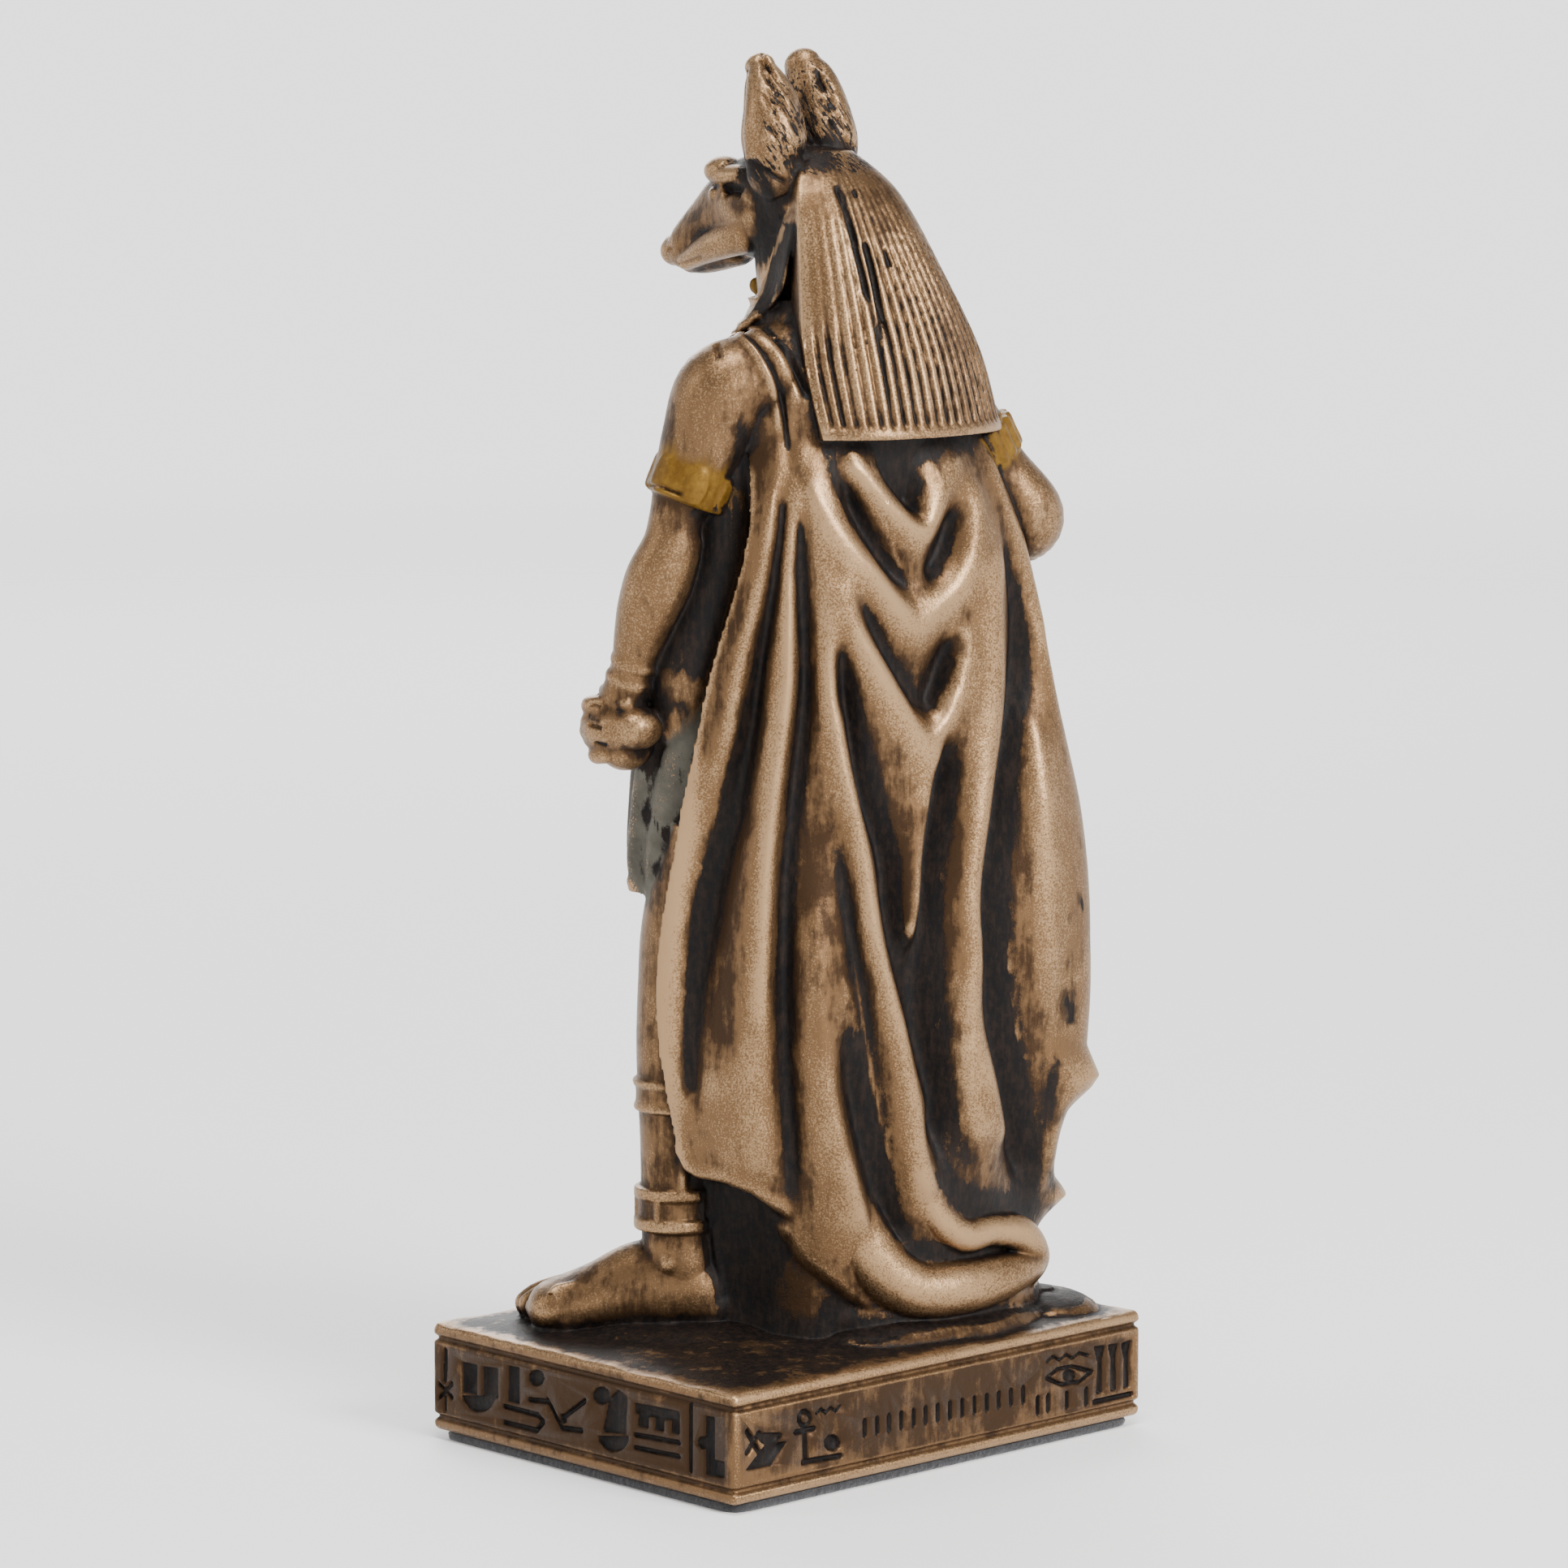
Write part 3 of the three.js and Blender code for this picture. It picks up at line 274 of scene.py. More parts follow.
class PhotoView:
    """Turns points into pixels of the photograph, and says which of them it shows."""

    cell = 2.5
    depth_slack = 0.7
    facing_limit = 0.05

    def __init__(self):
        self.forward = unit(CAMERA_AIM - CAMERA_PLACE)
        self.right = unit(np.cross(self.forward, [0, 0, 1]))
        self.up = np.cross(self.right, self.forward)
        self.focal = CAMERA_LENS / CAMERA_SENSOR * PHOTO_SIZE
        self.nearest = None

    def pixels(self, points):
        offset = points - CAMERA_PLACE
        depth = offset @ self.forward
        middle = PHOTO_SIZE / 2
        return np.stack([middle + self.focal * (offset @ self.right) / depth,
                         middle - self.focal * (offset @ self.up) / depth], -1), depth

    def ray(self, x, y):
        """The way from the camera through a pixel."""
        middle = PHOTO_SIZE / 2
        return unit(self.forward * self.focal + self.right * (x - middle) - self.up * (y - middle))

    def on_plane(self, x, y, axis, value):
        """The place that a pixel shows on the plane where the axis has that value."""
        way = self.ray(x, y)
        return CAMERA_PLACE + way * (value - CAMERA_PLACE[axis]) / way[axis]

    def remember(self, points):
        """Keeps the nearest depth of a dense surface in each cell of the picture."""
        pixels, depth = self.pixels(points)
        size = int(PHOTO_SIZE / self.cell) + 1
        index = np.clip((pixels / self.cell).astype(int), 0, size - 1)
        nearest = np.full(size * size, np.inf)
        np.minimum.at(nearest, index[:, 1] * size + index[:, 0], depth)
        self.nearest = nearest.reshape(size, size)

    def sees(self, points, ways):
        pixels, depth = self.pixels(points)
        size = len(self.nearest)
        index = np.clip((pixels / self.cell).astype(int), 0, size - 1)
        clear = depth < self.nearest[index[:, 1], index[:, 0]] + self.depth_slack
        return clear & (ways @ self.forward < self.facing_limit)


VIEW = PhotoView()


def along(path, spacing):
    """A path of pixels as a smooth curve, sampled about once in each spacing, with its share from 0 to 1."""
    path = np.asarray(path, float)
    length = np.linalg.norm(np.diff(path, axis=0), axis=1).sum()
    t = np.linspace(0, len(path) - 1, max(int(length / spacing), 2))
    return curve(path, t), t / (len(path) - 1)


def faded(share, tapers):
    """1 along a path and less towards its two ends, over the given shares of it."""
    fade = np.ones(len(share))
    if tapers[0]:
        fade *= smoothstep(0, tapers[0], share)
    if tapers[1]:
        fade *= smoothstep(0, tapers[1], 1 - share)
    return fade


def stroke_weight(pixels, path, width, tapers=(0.15, 0.15)):
    """How strongly a brush stroke of the given width covers each pixel, fading towards its two ends."""
    samples, share = along(path, max(width * 0.5, 1.0))
    weight = np.zeros(len(pixels))
    low, high = samples.min(0) - 2 * width, samples.max(0) + 2 * width
    near = np.nonzero(((pixels > low) & (pixels < high)).all(1))[0]
    best = np.full(len(near), np.inf)
    place = np.zeros(len(near))
    for sample, where in zip(samples, share):
        distance = ((pixels[near] - sample) ** 2).sum(1)
        closer = distance < best
        best[closer] = distance[closer]
        place[closer] = where
    weight[near] = np.exp(-best / width ** 2) * faded(place, tapers)
    return weight


# The cape

CAPE_TOP = 62.0
CAPE_STEP = 10.0
# Its gores run from the left edge round the back to the right edge: plan points [x, y] down the levels.
GORES = np.array([
    [[7.6, 3.6], [8.6, 5.6], [9.8, 3.2], [10.6, 1.3], [11.2, 0], [10.2, 0.6], [9.4, 1.2]],
    [[6.2, 5.2], [7.2, 7.4], [8, 6.6], [8.2, 7], [8.4, 6.8], [8, 6.6], [6.6, 5.6]],
    [[3.5, 7.4], [3.5, 9.6], [3.7, 9.8], [4, 10.3], [4, 10.6], [4, 10.4], [4.3, 8.4]],
    [[-1, 8.4], [-1.5, 10.3], [-1.6, 10.4], [-2, 11.2], [-2.5, 11.9], [-2.8, 11.9], [-2.9, 11]],
    [[-5, 8.4], [-7, 10.3], [-8, 11], [-9, 12.2], [-9.5, 12.6], [-10, 12.2], [-10, 10.4]],
    [[-7, 7.5], [-9.9, 9.8], [-12.3, 10.8], [-14.6, 11.7], [-15.1, 11.8], [-15.2, 9.8], [-15, 8]],
    [[-7.5, 5], [-10.5, 7.5], [-12.8, 7.4], [-14.8, 6.4], [-15.2, 5.2], [-15.6, 5.6], [-15, 5]],
])
CAPE_COLUMNS = 270
CAPE_ROWS = 300
GROUND = -0.6
# Its top falls from the shoulder to the back over this many gores
SHOULDER_TOP = 63.2
BACK_TOP = 60.0
SHOULDER_GORES = 1.2
# Gores that the left edge's hem crosses
HEM_GORES = 3
# The inside between the two edges bulges back, and more so towards the ground
INNER_COLUMNS = 16
INNER_BULGE = np.array([0, 1.1, 0])
INNER_SPREAD = 1.5

# Folds, as paths of pixels: (rise in millimetres, tapers at the two ends, path)
FOLDS = {
    "rim of the left band": (0.8, (0.35, 0.3), [
        (960, 536), (961, 564), (953, 640), (936, 720), (913, 818), (904, 888),
        (884, 947), (866, 999)]),
    "trough beside the left band": (-0.95, (0.3, 0.35), [
        (964, 616), (948, 745), (930, 844), (912, 932), (896, 1017), (880, 1065), (866, 1137), (853, 1211),
        (848, 1280), (852, 1340)]),
    "left edge": (0.6, (0.1, 0.1), [
        (862, 960), (848, 1000), (836, 1060), (828, 1140), (826, 1220), (832, 1310), (846, 1400)]),
    "slope of the left fold": (0.25, (0.2, 0.2), [(930, 1010), (912, 1100), (900, 1200), (896, 1290)]),
    "broad left fold": (0.7, (0.3, 0.1), [(884, 1300), (896, 1380), (906, 1450)]),
    "front pleat": (0.5, (0.35, 0.1), [(986, 520), (985, 560), (981, 620), (972, 700)]),
    "long left fold": (1.15, (0.1, 0.1), [
        (972, 700), (972, 829), (966, 888), (960, 932), (951, 1017), (945, 1093), (939, 1167), (935, 1260),
        (926, 1341), (934, 1411), (942, 1467)]),
    "groove beside it": (-0.7, (0.2, 0.1), [
        (984, 640), (989, 844), (972, 991), (963, 1079), (963, 1225), (966, 1329), (978, 1496)]),
    "second long fold": (0.9, (0.3, 0.2), [
        (973, 546), (1006, 666), (1020, 778), (1022, 829), (1033, 917), (1051, 1005), (1063, 1064),
        (1066, 1137), (1083, 1225)]),
    "broad lower fold": (1.1, (0.3, 0.3), [(1000, 1130), (1008, 1260), (1030, 1400), (1070, 1520)]),
    "trough beside the second fold": (-1.25, (0.2, 0.15), [
        (1034, 800), (1044, 870), (1069, 983), (1096, 1052), (1103, 1138), (1131, 1259), (1148, 1362)]),
    "groove of the lower fold": (-0.5, (0.2, 0.2), [
        (1030, 1010), (1048, 1100), (1062, 1200), (1085, 1320), (1100, 1430), (1120, 1500)]),
    "trough above the train": (-1.0, (0.2, 0.1), [(1040, 1290), (1058, 1390), (1083, 1470), (1110, 1535)]),
    "fold to the train": (1.0, (0.2, 0.1), [
        (1038, 880), (1052, 994), (1065, 1094), (1083, 1190), (1107, 1276), (1121, 1355), (1131, 1435),
        (1144, 1483)]),
    "first swag, left": (0.9, (0.1, 0.0), [(1039, 563), (1065, 590), (1090, 620), (1136, 659)]),
    "first swag, right": (0.8, (0.1, 0.0), [(1172, 556), (1155, 610), (1136, 659)]),
    "second swag, left": (0.9, (0.1, 0.0), [(990, 589), (1023, 646), (1073, 705), (1116, 765)]),
    "second swag, right": (0.9, (0.0, 0.1), [(1126, 772), (1166, 732), (1192, 686), (1197, 586)]),
    "third swag, left": (0.95, (0.1, 0.0), [(1030, 705), (1049, 769), (1089, 838), (1126, 901), (1152, 938)]),
    "third swag, right": (0.9, (0.0, 0.1), [(1152, 938), (1152, 901), (1172, 832), (1187, 762)]),
    "pocket in the first swag": (-0.9, (0.2, 0.2), [(1086, 572), (1110, 600), (1130, 632)]),
    "pocket in the second swag": (-0.9, (0.2, 0.2), [(1040, 600), (1075, 665), (1120, 725)]),
    "pocket beside the second swag": (-0.9, (0.2, 0.2), [(1180, 630), (1165, 680), (1144, 715)]),
    "pocket in the third swag": (-0.6, (0.3, 0.1), [(1060, 745), (1100, 815), (1136, 878)]),
    "pocket under the second swag": (-0.9, (0.2, 0.2), [(1176, 790), (1164, 840), (1146, 885)]),
    "tongue below the swags": (0.7, (0.1, 0.3), [(1148, 930), (1131, 1052), (1131, 1156)]),
    "long deep trough": (-1.3, (0.1, 0.1), [
        (1172, 914), (1155, 1001), (1145, 1087), (1142, 1190), (1148, 1300), (1160, 1440)]),
    "foot of the right fold": (0.85, (0.2, 0.2), [(1184, 1270), (1190, 1340), (1206, 1410)]),
    "band at the right hem": (0.55, (0.1, 0.2), [
        (1298, 1300), (1308, 1338), (1297, 1385), (1290, 1410), (1294, 1450), (1300, 1475)]),
    "right long fold": (1.15, (0.1, 0.15), [
        (1232, 679), (1219, 729), (1222, 812), (1220, 880), (1207, 1001), (1196, 1104), (1200, 1173),
        (1193, 1259), (1214, 1328), (1238, 1397)]),
    "right deep trough": (-1.4, (0.3, 0.1), [
        (1240, 685), (1257, 800), (1238, 983), (1222, 1087), (1224, 1190), (1237, 1293), (1262, 1397),
        (1270, 1460)]),
    "rim of the right edge": (0.5, (0.1, 0.3), [
        (1210, 544), (1231, 614), (1264, 689), (1272, 734), (1282, 801), (1313, 900)]),
    "right panel": (0.7, (0.3, 0.3), [(1275, 900), (1285, 1010), (1290, 1120), (1290, 1230)]),
}
FOLD_SCALE = 1.45
# Spacing in pixels at which paths are laid on the cape
FOLD_SAMPLING = 3.0
# The share of its rise that a fold keeps at its ends
FOLD_END = 0.25
# How far away from the camera a part of the cape may face and still take folds from the photograph
CAPE_FACING = 0.1
# Blocks of points in which the cloth between the folds is worked out, from coarse to fine, and how it settles
COARSE_STEPS = (8, 4, 2, 1)
SETTLE_ROUNDS = 90
SETTLE_PULL = 0.0012
BLUR_ROUNDS = 3
# Crests grow rounder as they come near this height
CREST_ROUNDING = 1.3

# The lower edge of the cape at the left, in pixels
LEFT_HEM = np.array([(838, 1425), (846, 1443), (861, 1452), (892, 1457), (928, 1471), (950, 1488),
                     (972, 1500), (985, 1500)], float)
# Where the cloth under that edge ends at its right: pixels down the picture, and across it at each
UNDER_EDGE = ([1490, 1515, 1553, 1590, 1620, 1645], [974, 960, 985, 1035, 1072, 1105])
# The cloth under it is set back: the pixels down from the edge and across from its end over which that
# sets in, how deep it is, how much deeper towards the left and where, and how much flatter its folds are
UNDER_DOWN, UNDER_ACROSS = (-3, 9), (14, -14)
UNDER_DEPTH, SHELF_DEPTH, SHELF_FADE = 0.55, 1.5, (980, 900)
UNDER_FLATTENING = 0.5
# A lip along that edge: pixels over it, its width in pixels, where it ends and its rise
LIP_PLACE, LIP_WIDTH, LIP_FADE, LIP_RISE = 8, 10, (990, 960), 0.25
# The height and how far the right edge stands out there
RIGHT_EDGE = np.array([
    [40, 0.0], [24, 0.2], [17, 0.6], [15, 1.7], [14.2, 1.3], [12.8, 0.0], [10.8, -0.7], [9.5, -0.9],
    [8.1, -0.3], [6.9, 0.8], [6.1, 0.2], [4.4, -1.2], [2, -1.6], [-1, -1.6]])
# Gores over which that edge's shape sets in and over which it weakens, and by how much
EDGE_START, EDGE_END = (4.3, 4.9), (5.25, 5.9)
EDGE_WEAKENING = 0.7
# Ripples on the right flank: waves along the gores, slant with height and rise; and where they are
RIPPLES = ((9, 0.05, 0.35), (17, -0.08, 0.15))
RIPPLE_GORES, RIPPLE_HEIGHTS = (5.2, 5.6), (60, 45)


def cape_grid():
    """The outer surface before it is folded: gore and height of each point, its place and its way out."""
    gore = np.linspace(0, len(GORES) - 1, CAPE_COLUMNS)
    top = SHOULDER_TOP + (BACK_TOP - SHOULDER_TOP) * np.minimum(gore / SHOULDER_GORES, 1)
    share = np.linspace(0, 1, CAPE_ROWS)[:, None]
    height = top[None, :] * (1 - share) + GROUND * share
    level = np.clip((CAPE_TOP - height) / CAPE_STEP, 0, GORES.shape[1] - 1)
    by_column = curve(GORES, gore)
    plan = np.empty(height.shape + (2,))
    for column in range(CAPE_COLUMNS):
        plan[:, column] = curve(by_column[column], level[:, column])
    points = np.concatenate([plan, height[..., None]], -1)
    across = np.gradient(points, axis=1)
    out = unit(np.stack([across[..., 1], -across[..., 0], 0 * height], -1))
    return np.broadcast_to(gore, height.shape), height, points, out


def box_blur(field, half, axis):
    """The mean over a window that reaches so many points to either side."""
    padded = np.concatenate([np.repeat(field.take([0], axis), half + 1, axis), field,
                             np.repeat(field.take([-1], axis), half, axis)], axis)
    total = np.cumsum(padded, axis, dtype=field.dtype)
    size = field.shape[axis]
    window = 2 * half + 1
    return (total.take(range(window, window + size), axis) - total.take(range(size), axis)) / window


def relax(values, fixed, rounds, pull):
    """Spreads the fixed values over the grid like a stretched membrane that is gently drawn to zero."""
    for _ in range(rounds):
        spread = 0.25 * (np.roll(values, 1, 0) + np.roll(values, -1, 0)
                         + np.roll(values, 1, 1) + np.roll(values, -1, 1))
        spread[0], spread[-1] = spread[1], spread[-2]
        spread[:, 0], spread[:, -1] = spread[:, 1], spread[:, -2]
        values = np.where(fixed, values, spread * (1 - pull))
    return values


def block_sums(field, step):
    """Sums over square blocks of a grid, each step points wide."""
    rows, columns = field.shape
    low_rows, low_columns = -(-rows // step), -(-columns // step)
    padded = np.pad(field, ((0, low_rows * step - rows), (0, low_columns * step - columns)))
    return padded.reshape(low_rows, step, low_columns, step).sum((1, 3))


def cape_relief(points, out):
    """How far each point of the cape stands out, from the folds that the photograph shows."""
    rows, columns = points.shape[:2]
    pixels, _ = VIEW.pixels((points + FIGURE_LIFT).reshape(-1, 3))
    facing = (out.reshape(-1, 3) @ VIEW.forward) < CAPE_FACING
    target = np.zeros(rows * columns)
    fixed = np.zeros(rows * columns)
    for rise, tapers, path in FOLDS.values():
        samples, share = along(path, FOLD_SAMPLING)
        for sample, fade in zip(samples, faded(share, tapers)):
            distance = ((pixels - sample) ** 2).sum(1)
            distance[~facing] = np.inf
            nearest = int(np.argmin(distance))
            target[nearest] = rise * FOLD_SCALE * (FOLD_END + (1 - FOLD_END) * fade)
            fixed[nearest] = 1
    target, fixed = target.reshape(rows, columns), fixed.reshape(rows, columns)
    values = np.zeros((rows, columns))
    for step in COARSE_STEPS:
        counts = block_sums(fixed, step)
        held = counts > 0
        grown = np.kron(values, np.ones((2, 2)))[:held.shape[0], :held.shape[1]]
        values = np.where(held, block_sums(target * fixed, step) / np.maximum(counts, 1), grown)
        values = relax(values, held, SETTLE_ROUNDS, SETTLE_PULL * step * step)
    for _ in range(BLUR_ROUNDS):
        values = box_blur(box_blur(values, 1, 0), 2, 1)
    rounded = CREST_ROUNDING * (1 - np.exp(-np.maximum(values, 0) / CREST_ROUNDING))
    return np.where(values > 0, rounded, values)


def cape_surface():
    """The folded outer surface, and how far each of its points stands out."""
    gore, height, points, out = cape_grid()
    relief = cape_relief(points, out)
    pixels, _ = VIEW.pixels((points + FIGURE_LIFT).reshape(-1, 3))
    across, down = np.moveaxis(pixels.reshape(points.shape[:2] + (2,)), -1, 0)

    left_part = gore < HEM_GORES
    hem_line = np.interp(across, LEFT_HEM[:, 0], LEFT_HEM[:, 1])
    hem_end = np.interp(down, *UNDER_EDGE)
    under = smoothstep(*UNDER_DOWN, down - hem_line) * smoothstep(*UNDER_ACROSS, across - hem_end)
    under = under * left_part
    shelf = smoothstep(*SHELF_FADE, across)
    relief = relief - under * (UNDER_DEPTH + SHELF_DEPTH * shelf + UNDER_FLATTENING * relief)
    lip = np.exp(-((down - hem_line + LIP_PLACE) / LIP_WIDTH) ** 2) * smoothstep(*LIP_FADE, across)
    relief = relief + LIP_RISE * (lip * left_part)

    edge = np.interp(height, RIGHT_EDGE[::-1, 0], RIGHT_EDGE[::-1, 1])
    near_edge = smoothstep(*EDGE_START, gore) * (1 - EDGE_WEAKENING * smoothstep(*EDGE_END, gore))
    relief = relief + edge * near_edge + ripples(gore, height)
    return points + out * relief[..., None], relief


def cape(outer):
    """The outer surface closed on its inside, between its two edges."""
    left, right = outer[:, :1], outer[:, -1:]
    share = np.linspace(0, 1, INNER_COLUMNS)[1:-1][None, :, None]
    chord = right * (1 - share) + left * share
    bulge = np.sin(share * math.pi) * INNER_BULGE
    top = outer[0, -1, 2] * (1 - share[0, :, 0]) + outer[0, 0, 2] * share[0, :, 0]
    down = np.linspace(0, 1, len(outer))[:, None]
    chord[..., 2] = top * (1 - down) + GROUND * down
    return skin(np.concatenate([outer, chord + bulge * (1 + INNER_SPREAD * down[..., None])], 1))


def ripples(gore, height):
    """Soft folds on the right flank, which the photograph doesn't show."""
    wave = sum(np.sin(gore * pitch + height * slant) * rise for pitch, slant, rise in RIPPLES)
    return wave * smoothstep(*RIPPLE_GORES, gore) * smoothstep(*RIPPLE_HEIGHTS, height)


# Rolls of cloth that leave the cape behind, lie on the ground and sweep to the right
TRAIN_ROLLS = (
    [[0.3, 9.2, 20.1, 0.8, 0.9], [-0.5, 10.1, 15.1, 0.85, 0.9], [-1, 10.5, 11.2, 0.95, 1],
     [-2.3, 10.9, 7.8, 1.05, 1.1], [-4.5, 11.3, 6, 1.05, 1.1], [-7, 11.4, 6, 1, 1.05],
     [-9.8, 11.3, 5.3, 1.1, 1.15], [-11.6, 10.7, 3.5, 1.1, 1.1], [-11.5, 10, 2.2, 0.9, 0.95]],
    [[3.4, 6, 17.9, 1.3, 1.4], [3.3, 6.8, 13.3, 1.6, 1.7], [2.6, 7.7, 9.1, 1.9, 2],
     [1.3, 8.8, 5.2, 2, 2.1], [-1.1, 10.1, 2.9, 1.9, 1.9], [-4.5, 11, 2.6, 1.75, 1.8],
     [-8.2, 11.3, 2.8, 1.4, 1.5], [-10.9, 11.1, 3.1, 1, 1.05]],
    [[4, 4.2, 1, 1.8, 1.8], [2, 7, 1, 1.9, 1.9], [-0.8, 8.7, 1, 1.9, 1.9], [-4.2, 9.7, 1.1, 1.9, 1.9],
     [-8.6, 9.6, 1, 1.9, 1.9], [-12, 8.4, 0.8, 1.8, 1.8], [-14, 6.6, 0.6, 1.4, 1.4]],
)


def train():
    return [tube(roll, ends=(False, True), sides=48) for roll in TRAIN_ROLLS]


# The wig

WIG_LEVELS = [74.6, 72, 67, 62, 57]
WIG_COLUMNS = np.array([
    [[1.9, 3.4], [3.9, 5], [4.8, 6.2], [5.4, 7.2], [5.5, 9]],
    [[1, 4.2], [1.9, 6.4], [2.3, 8.4], [2.5, 10], [2.5, 11.3]],
    [[-0.3, 4.6], [-0.6, 6.8], [-1.2, 9.2], [-1.8, 10.9], [-2.1, 12]],
    [[-1.5, 4.2], [-2.85, 6.65], [-4.3, 9], [-5.6, 10.5], [-6.45, 11.45]],
    [[-2.2, 3.2], [-4.35, 5.35], [-6.2, 7.5], [-8.15, 9], [-9.35, 9.65]],
    [[-2.2, 1.9], [-4.85, 2.65], [-6.9, 4.05], [-8.9, 5.45], [-9.95, 6.45]],
])
# The plain band above the hem
WIG_HEM_BAND = 0.5
POINTS_PER_RIDGE = 12
WIG_ROWS = 90
WIG_SAMPLES = 400
# Over which part of a wave from groove to ridge the surface rises
GROOVE_RISE = (0.04, 0.42)
# How deep the grooves are at the crown, as a share of their full depth
CROWN_RIDGE = 0.55
# How deep the faintest grooves are, near the crown at the left, and how much the grooves' depths differ
LEAST_RIDGE = 0.12
RIDGE_DRIFT = 0.5
# Where the grooves grow strong: between two heights near the hem, and away from the left edge, counted in
# ridges, below the crown
STRONG_UNDER = (64.8, 62.5)
STRONG_ACROSS, STRONG_DOWN = (1.5, 7), (76, 66)
# The roll along the hem: its rise, its height over the hem and its width
HEM_ROLL, HEM_ROLL_PLACE, HEM_ROLL_WIDTH = 0.1, 0.35, 0.4


def wig_surface(settings):
    """The back panel's outer surface, ridged from the crown to a plain hem, and its grooves' depth."""
    last, hem_level = len(WIG_COLUMNS) - 1, len(WIG_LEVELS) - 1
    hem = curve(WIG_COLUMNS[:, hem_level], np.linspace(0, last, WIG_SAMPLES))
    length = np.linalg.norm(np.diff(hem, axis=0), axis=1).sum()
    ridges = round(length / settings.ridge_pitch)
    across = np.arange(ridges * POINTS_PER_RIDGE + 1) / POINTS_PER_RIDGE
    by_column = curve(WIG_COLUMNS, across / ridges * last)
    level = np.linspace(0, hem_level, WIG_ROWS)
    plan = np.stack([curve(rows, level) for rows in by_column], 1)
    height = np.broadcast_to(curve(np.array(WIG_LEVELS)[:, None], level), plan.shape[:2])
    step = np.gradient(plan, axis=1)
    out = unit(np.stack([step[..., 1], -step[..., 0]], -1))

    wave = 0.5 + 0.5 * np.cos(2 * math.pi * across)[None, :]
    groove = 1 - smoothstep(*GROOVE_RISE, wave)
    hem_height = WIG_LEVELS[hem_level]
    strength = smoothstep(hem_height + WIG_HEM_BAND, hem_height + WIG_HEM_BAND + 0.5, height)
    strength = strength * (CROWN_RIDGE + (1 - CROWN_RIDGE) * smoothstep(0, 1.0, level)[:, None])
    strong = smoothstep(*STRONG_UNDER, height)
    strong = strong + smoothstep(*STRONG_ACROSS, across)[None, :] * smoothstep(*STRONG_DOWN, height)
    strength = strength * np.clip(LEAST_RIDGE + strong, 0, 1)
    drift = np.array([noise.noise((0.35 * k, 7.1, 2.3)) for k in range(ridges + 1)])
    strength = strength * (1 + RIDGE_DRIFT * drift[np.minimum(np.round(across).astype(int), ridges)][None, :])
    rise = -settings.ridge_depth * groove * strength
    hem_roll = HEM_ROLL * np.exp(-((height - hem_height - HEM_ROLL_PLACE) / HEM_ROLL_WIDTH) ** 2)
    plan = plan + out * (rise + hem_roll)[..., None]

    return np.concatenate([plan, height[..., None]], -1), groove * strength


def wig(outer):
    """The back panel closed on its inside, over the back of the neck."""
    height = outer[..., 2]
    left, right = outer[:, :1], outer[:, -1:]
    centre, depth = np.zeros((WIG_ROWS, 1, 1)), np.full((WIG_ROWS, 1, 1), 1.5)
    middle = np.concatenate([centre, depth, height[:, :1, None]], -1)
    inner = np.concatenate([right * [0.75, 1, 1] - [0, 2, 0], middle, left * [0.75, 1, 1] - [0, 2.2, 0]], 1)
    return skin(np.concatenate([outer, inner], 1))


# The head, in its own frame: x to its left, y back; then turned and moved onto the neck

HEAD_TURN = 10
HEAD_PLACE = (-0.1, 2.0, 0.0)
# Each ear: how far it stands forward and outward, how much slimmer it is, how far its tip leans to
# the right and back, and how much narrower that tip is
EARS = {
    1: {"forward": -0.72, "outward": 0.6, "slim": 0, "tip": 0.32, "slack": 0.14},
    -1: {"forward": -0.5, "outward": 0.5, "slim": 0.22, "tip": 0.1, "slack": 0},
}
# An ear opens to the front, and so many degrees outwards; its hollow is a share of its half width
EAR_FRONT, EAR_OUTWARDS = -90, 38
EAR_HOLLOW = 0.62

# Limbs and bodies here and below are rows of [x, y, height, half width, half thickness]
SKULL = [[0, 1, 71, 3.6, 3.4], [0, -2, 71, 3.8, 3.6], [0, -4, 70.9, 3.4, 3.4], [0, -5.8, 70.4, 2.6, 2.9],
         [0, -7.2, 69.65, 2.1, 2.4], [0, -8.7, 68.8, 1.75, 1.9], [0, -9.9, 68.15, 1.5, 1.45],
         [0, -10.7, 67.95, 1.15, 1]]
JAW = [[0, -5.8, 68.2, 1.5, 1.1], [0, -8, 67.4, 1.25, 0.8], [0, -9.4, 67.1, 0.95, 0.55]]
# On either side, as middle and radii: the brow, the pad behind it and the eye
FACE_PADS = (([1.6, -5.65, 73.2], [1.3, 1.3, 0.95]), ([2.1, -4.2, 72.9], [1.1, 2.2, 0.75]),
             ([2.1, -5.7, 71.75], [0.6, 0.75, 0.5]))
EYE_RIDGE = [[1.7, -6.3, 71.9, 0.3, 0.45], [1.7, -6.5, 71, 0.4, 0.6], [1.6, -7.2, 69.8, 0.4, 0.6]]
CHEEK = [[2.4, -3.2, 69.4, 1.1, 1.3], [1.9, -6.2, 68.5, 1, 1], [1.2, -9, 67.4, 0.6, 0.6]]


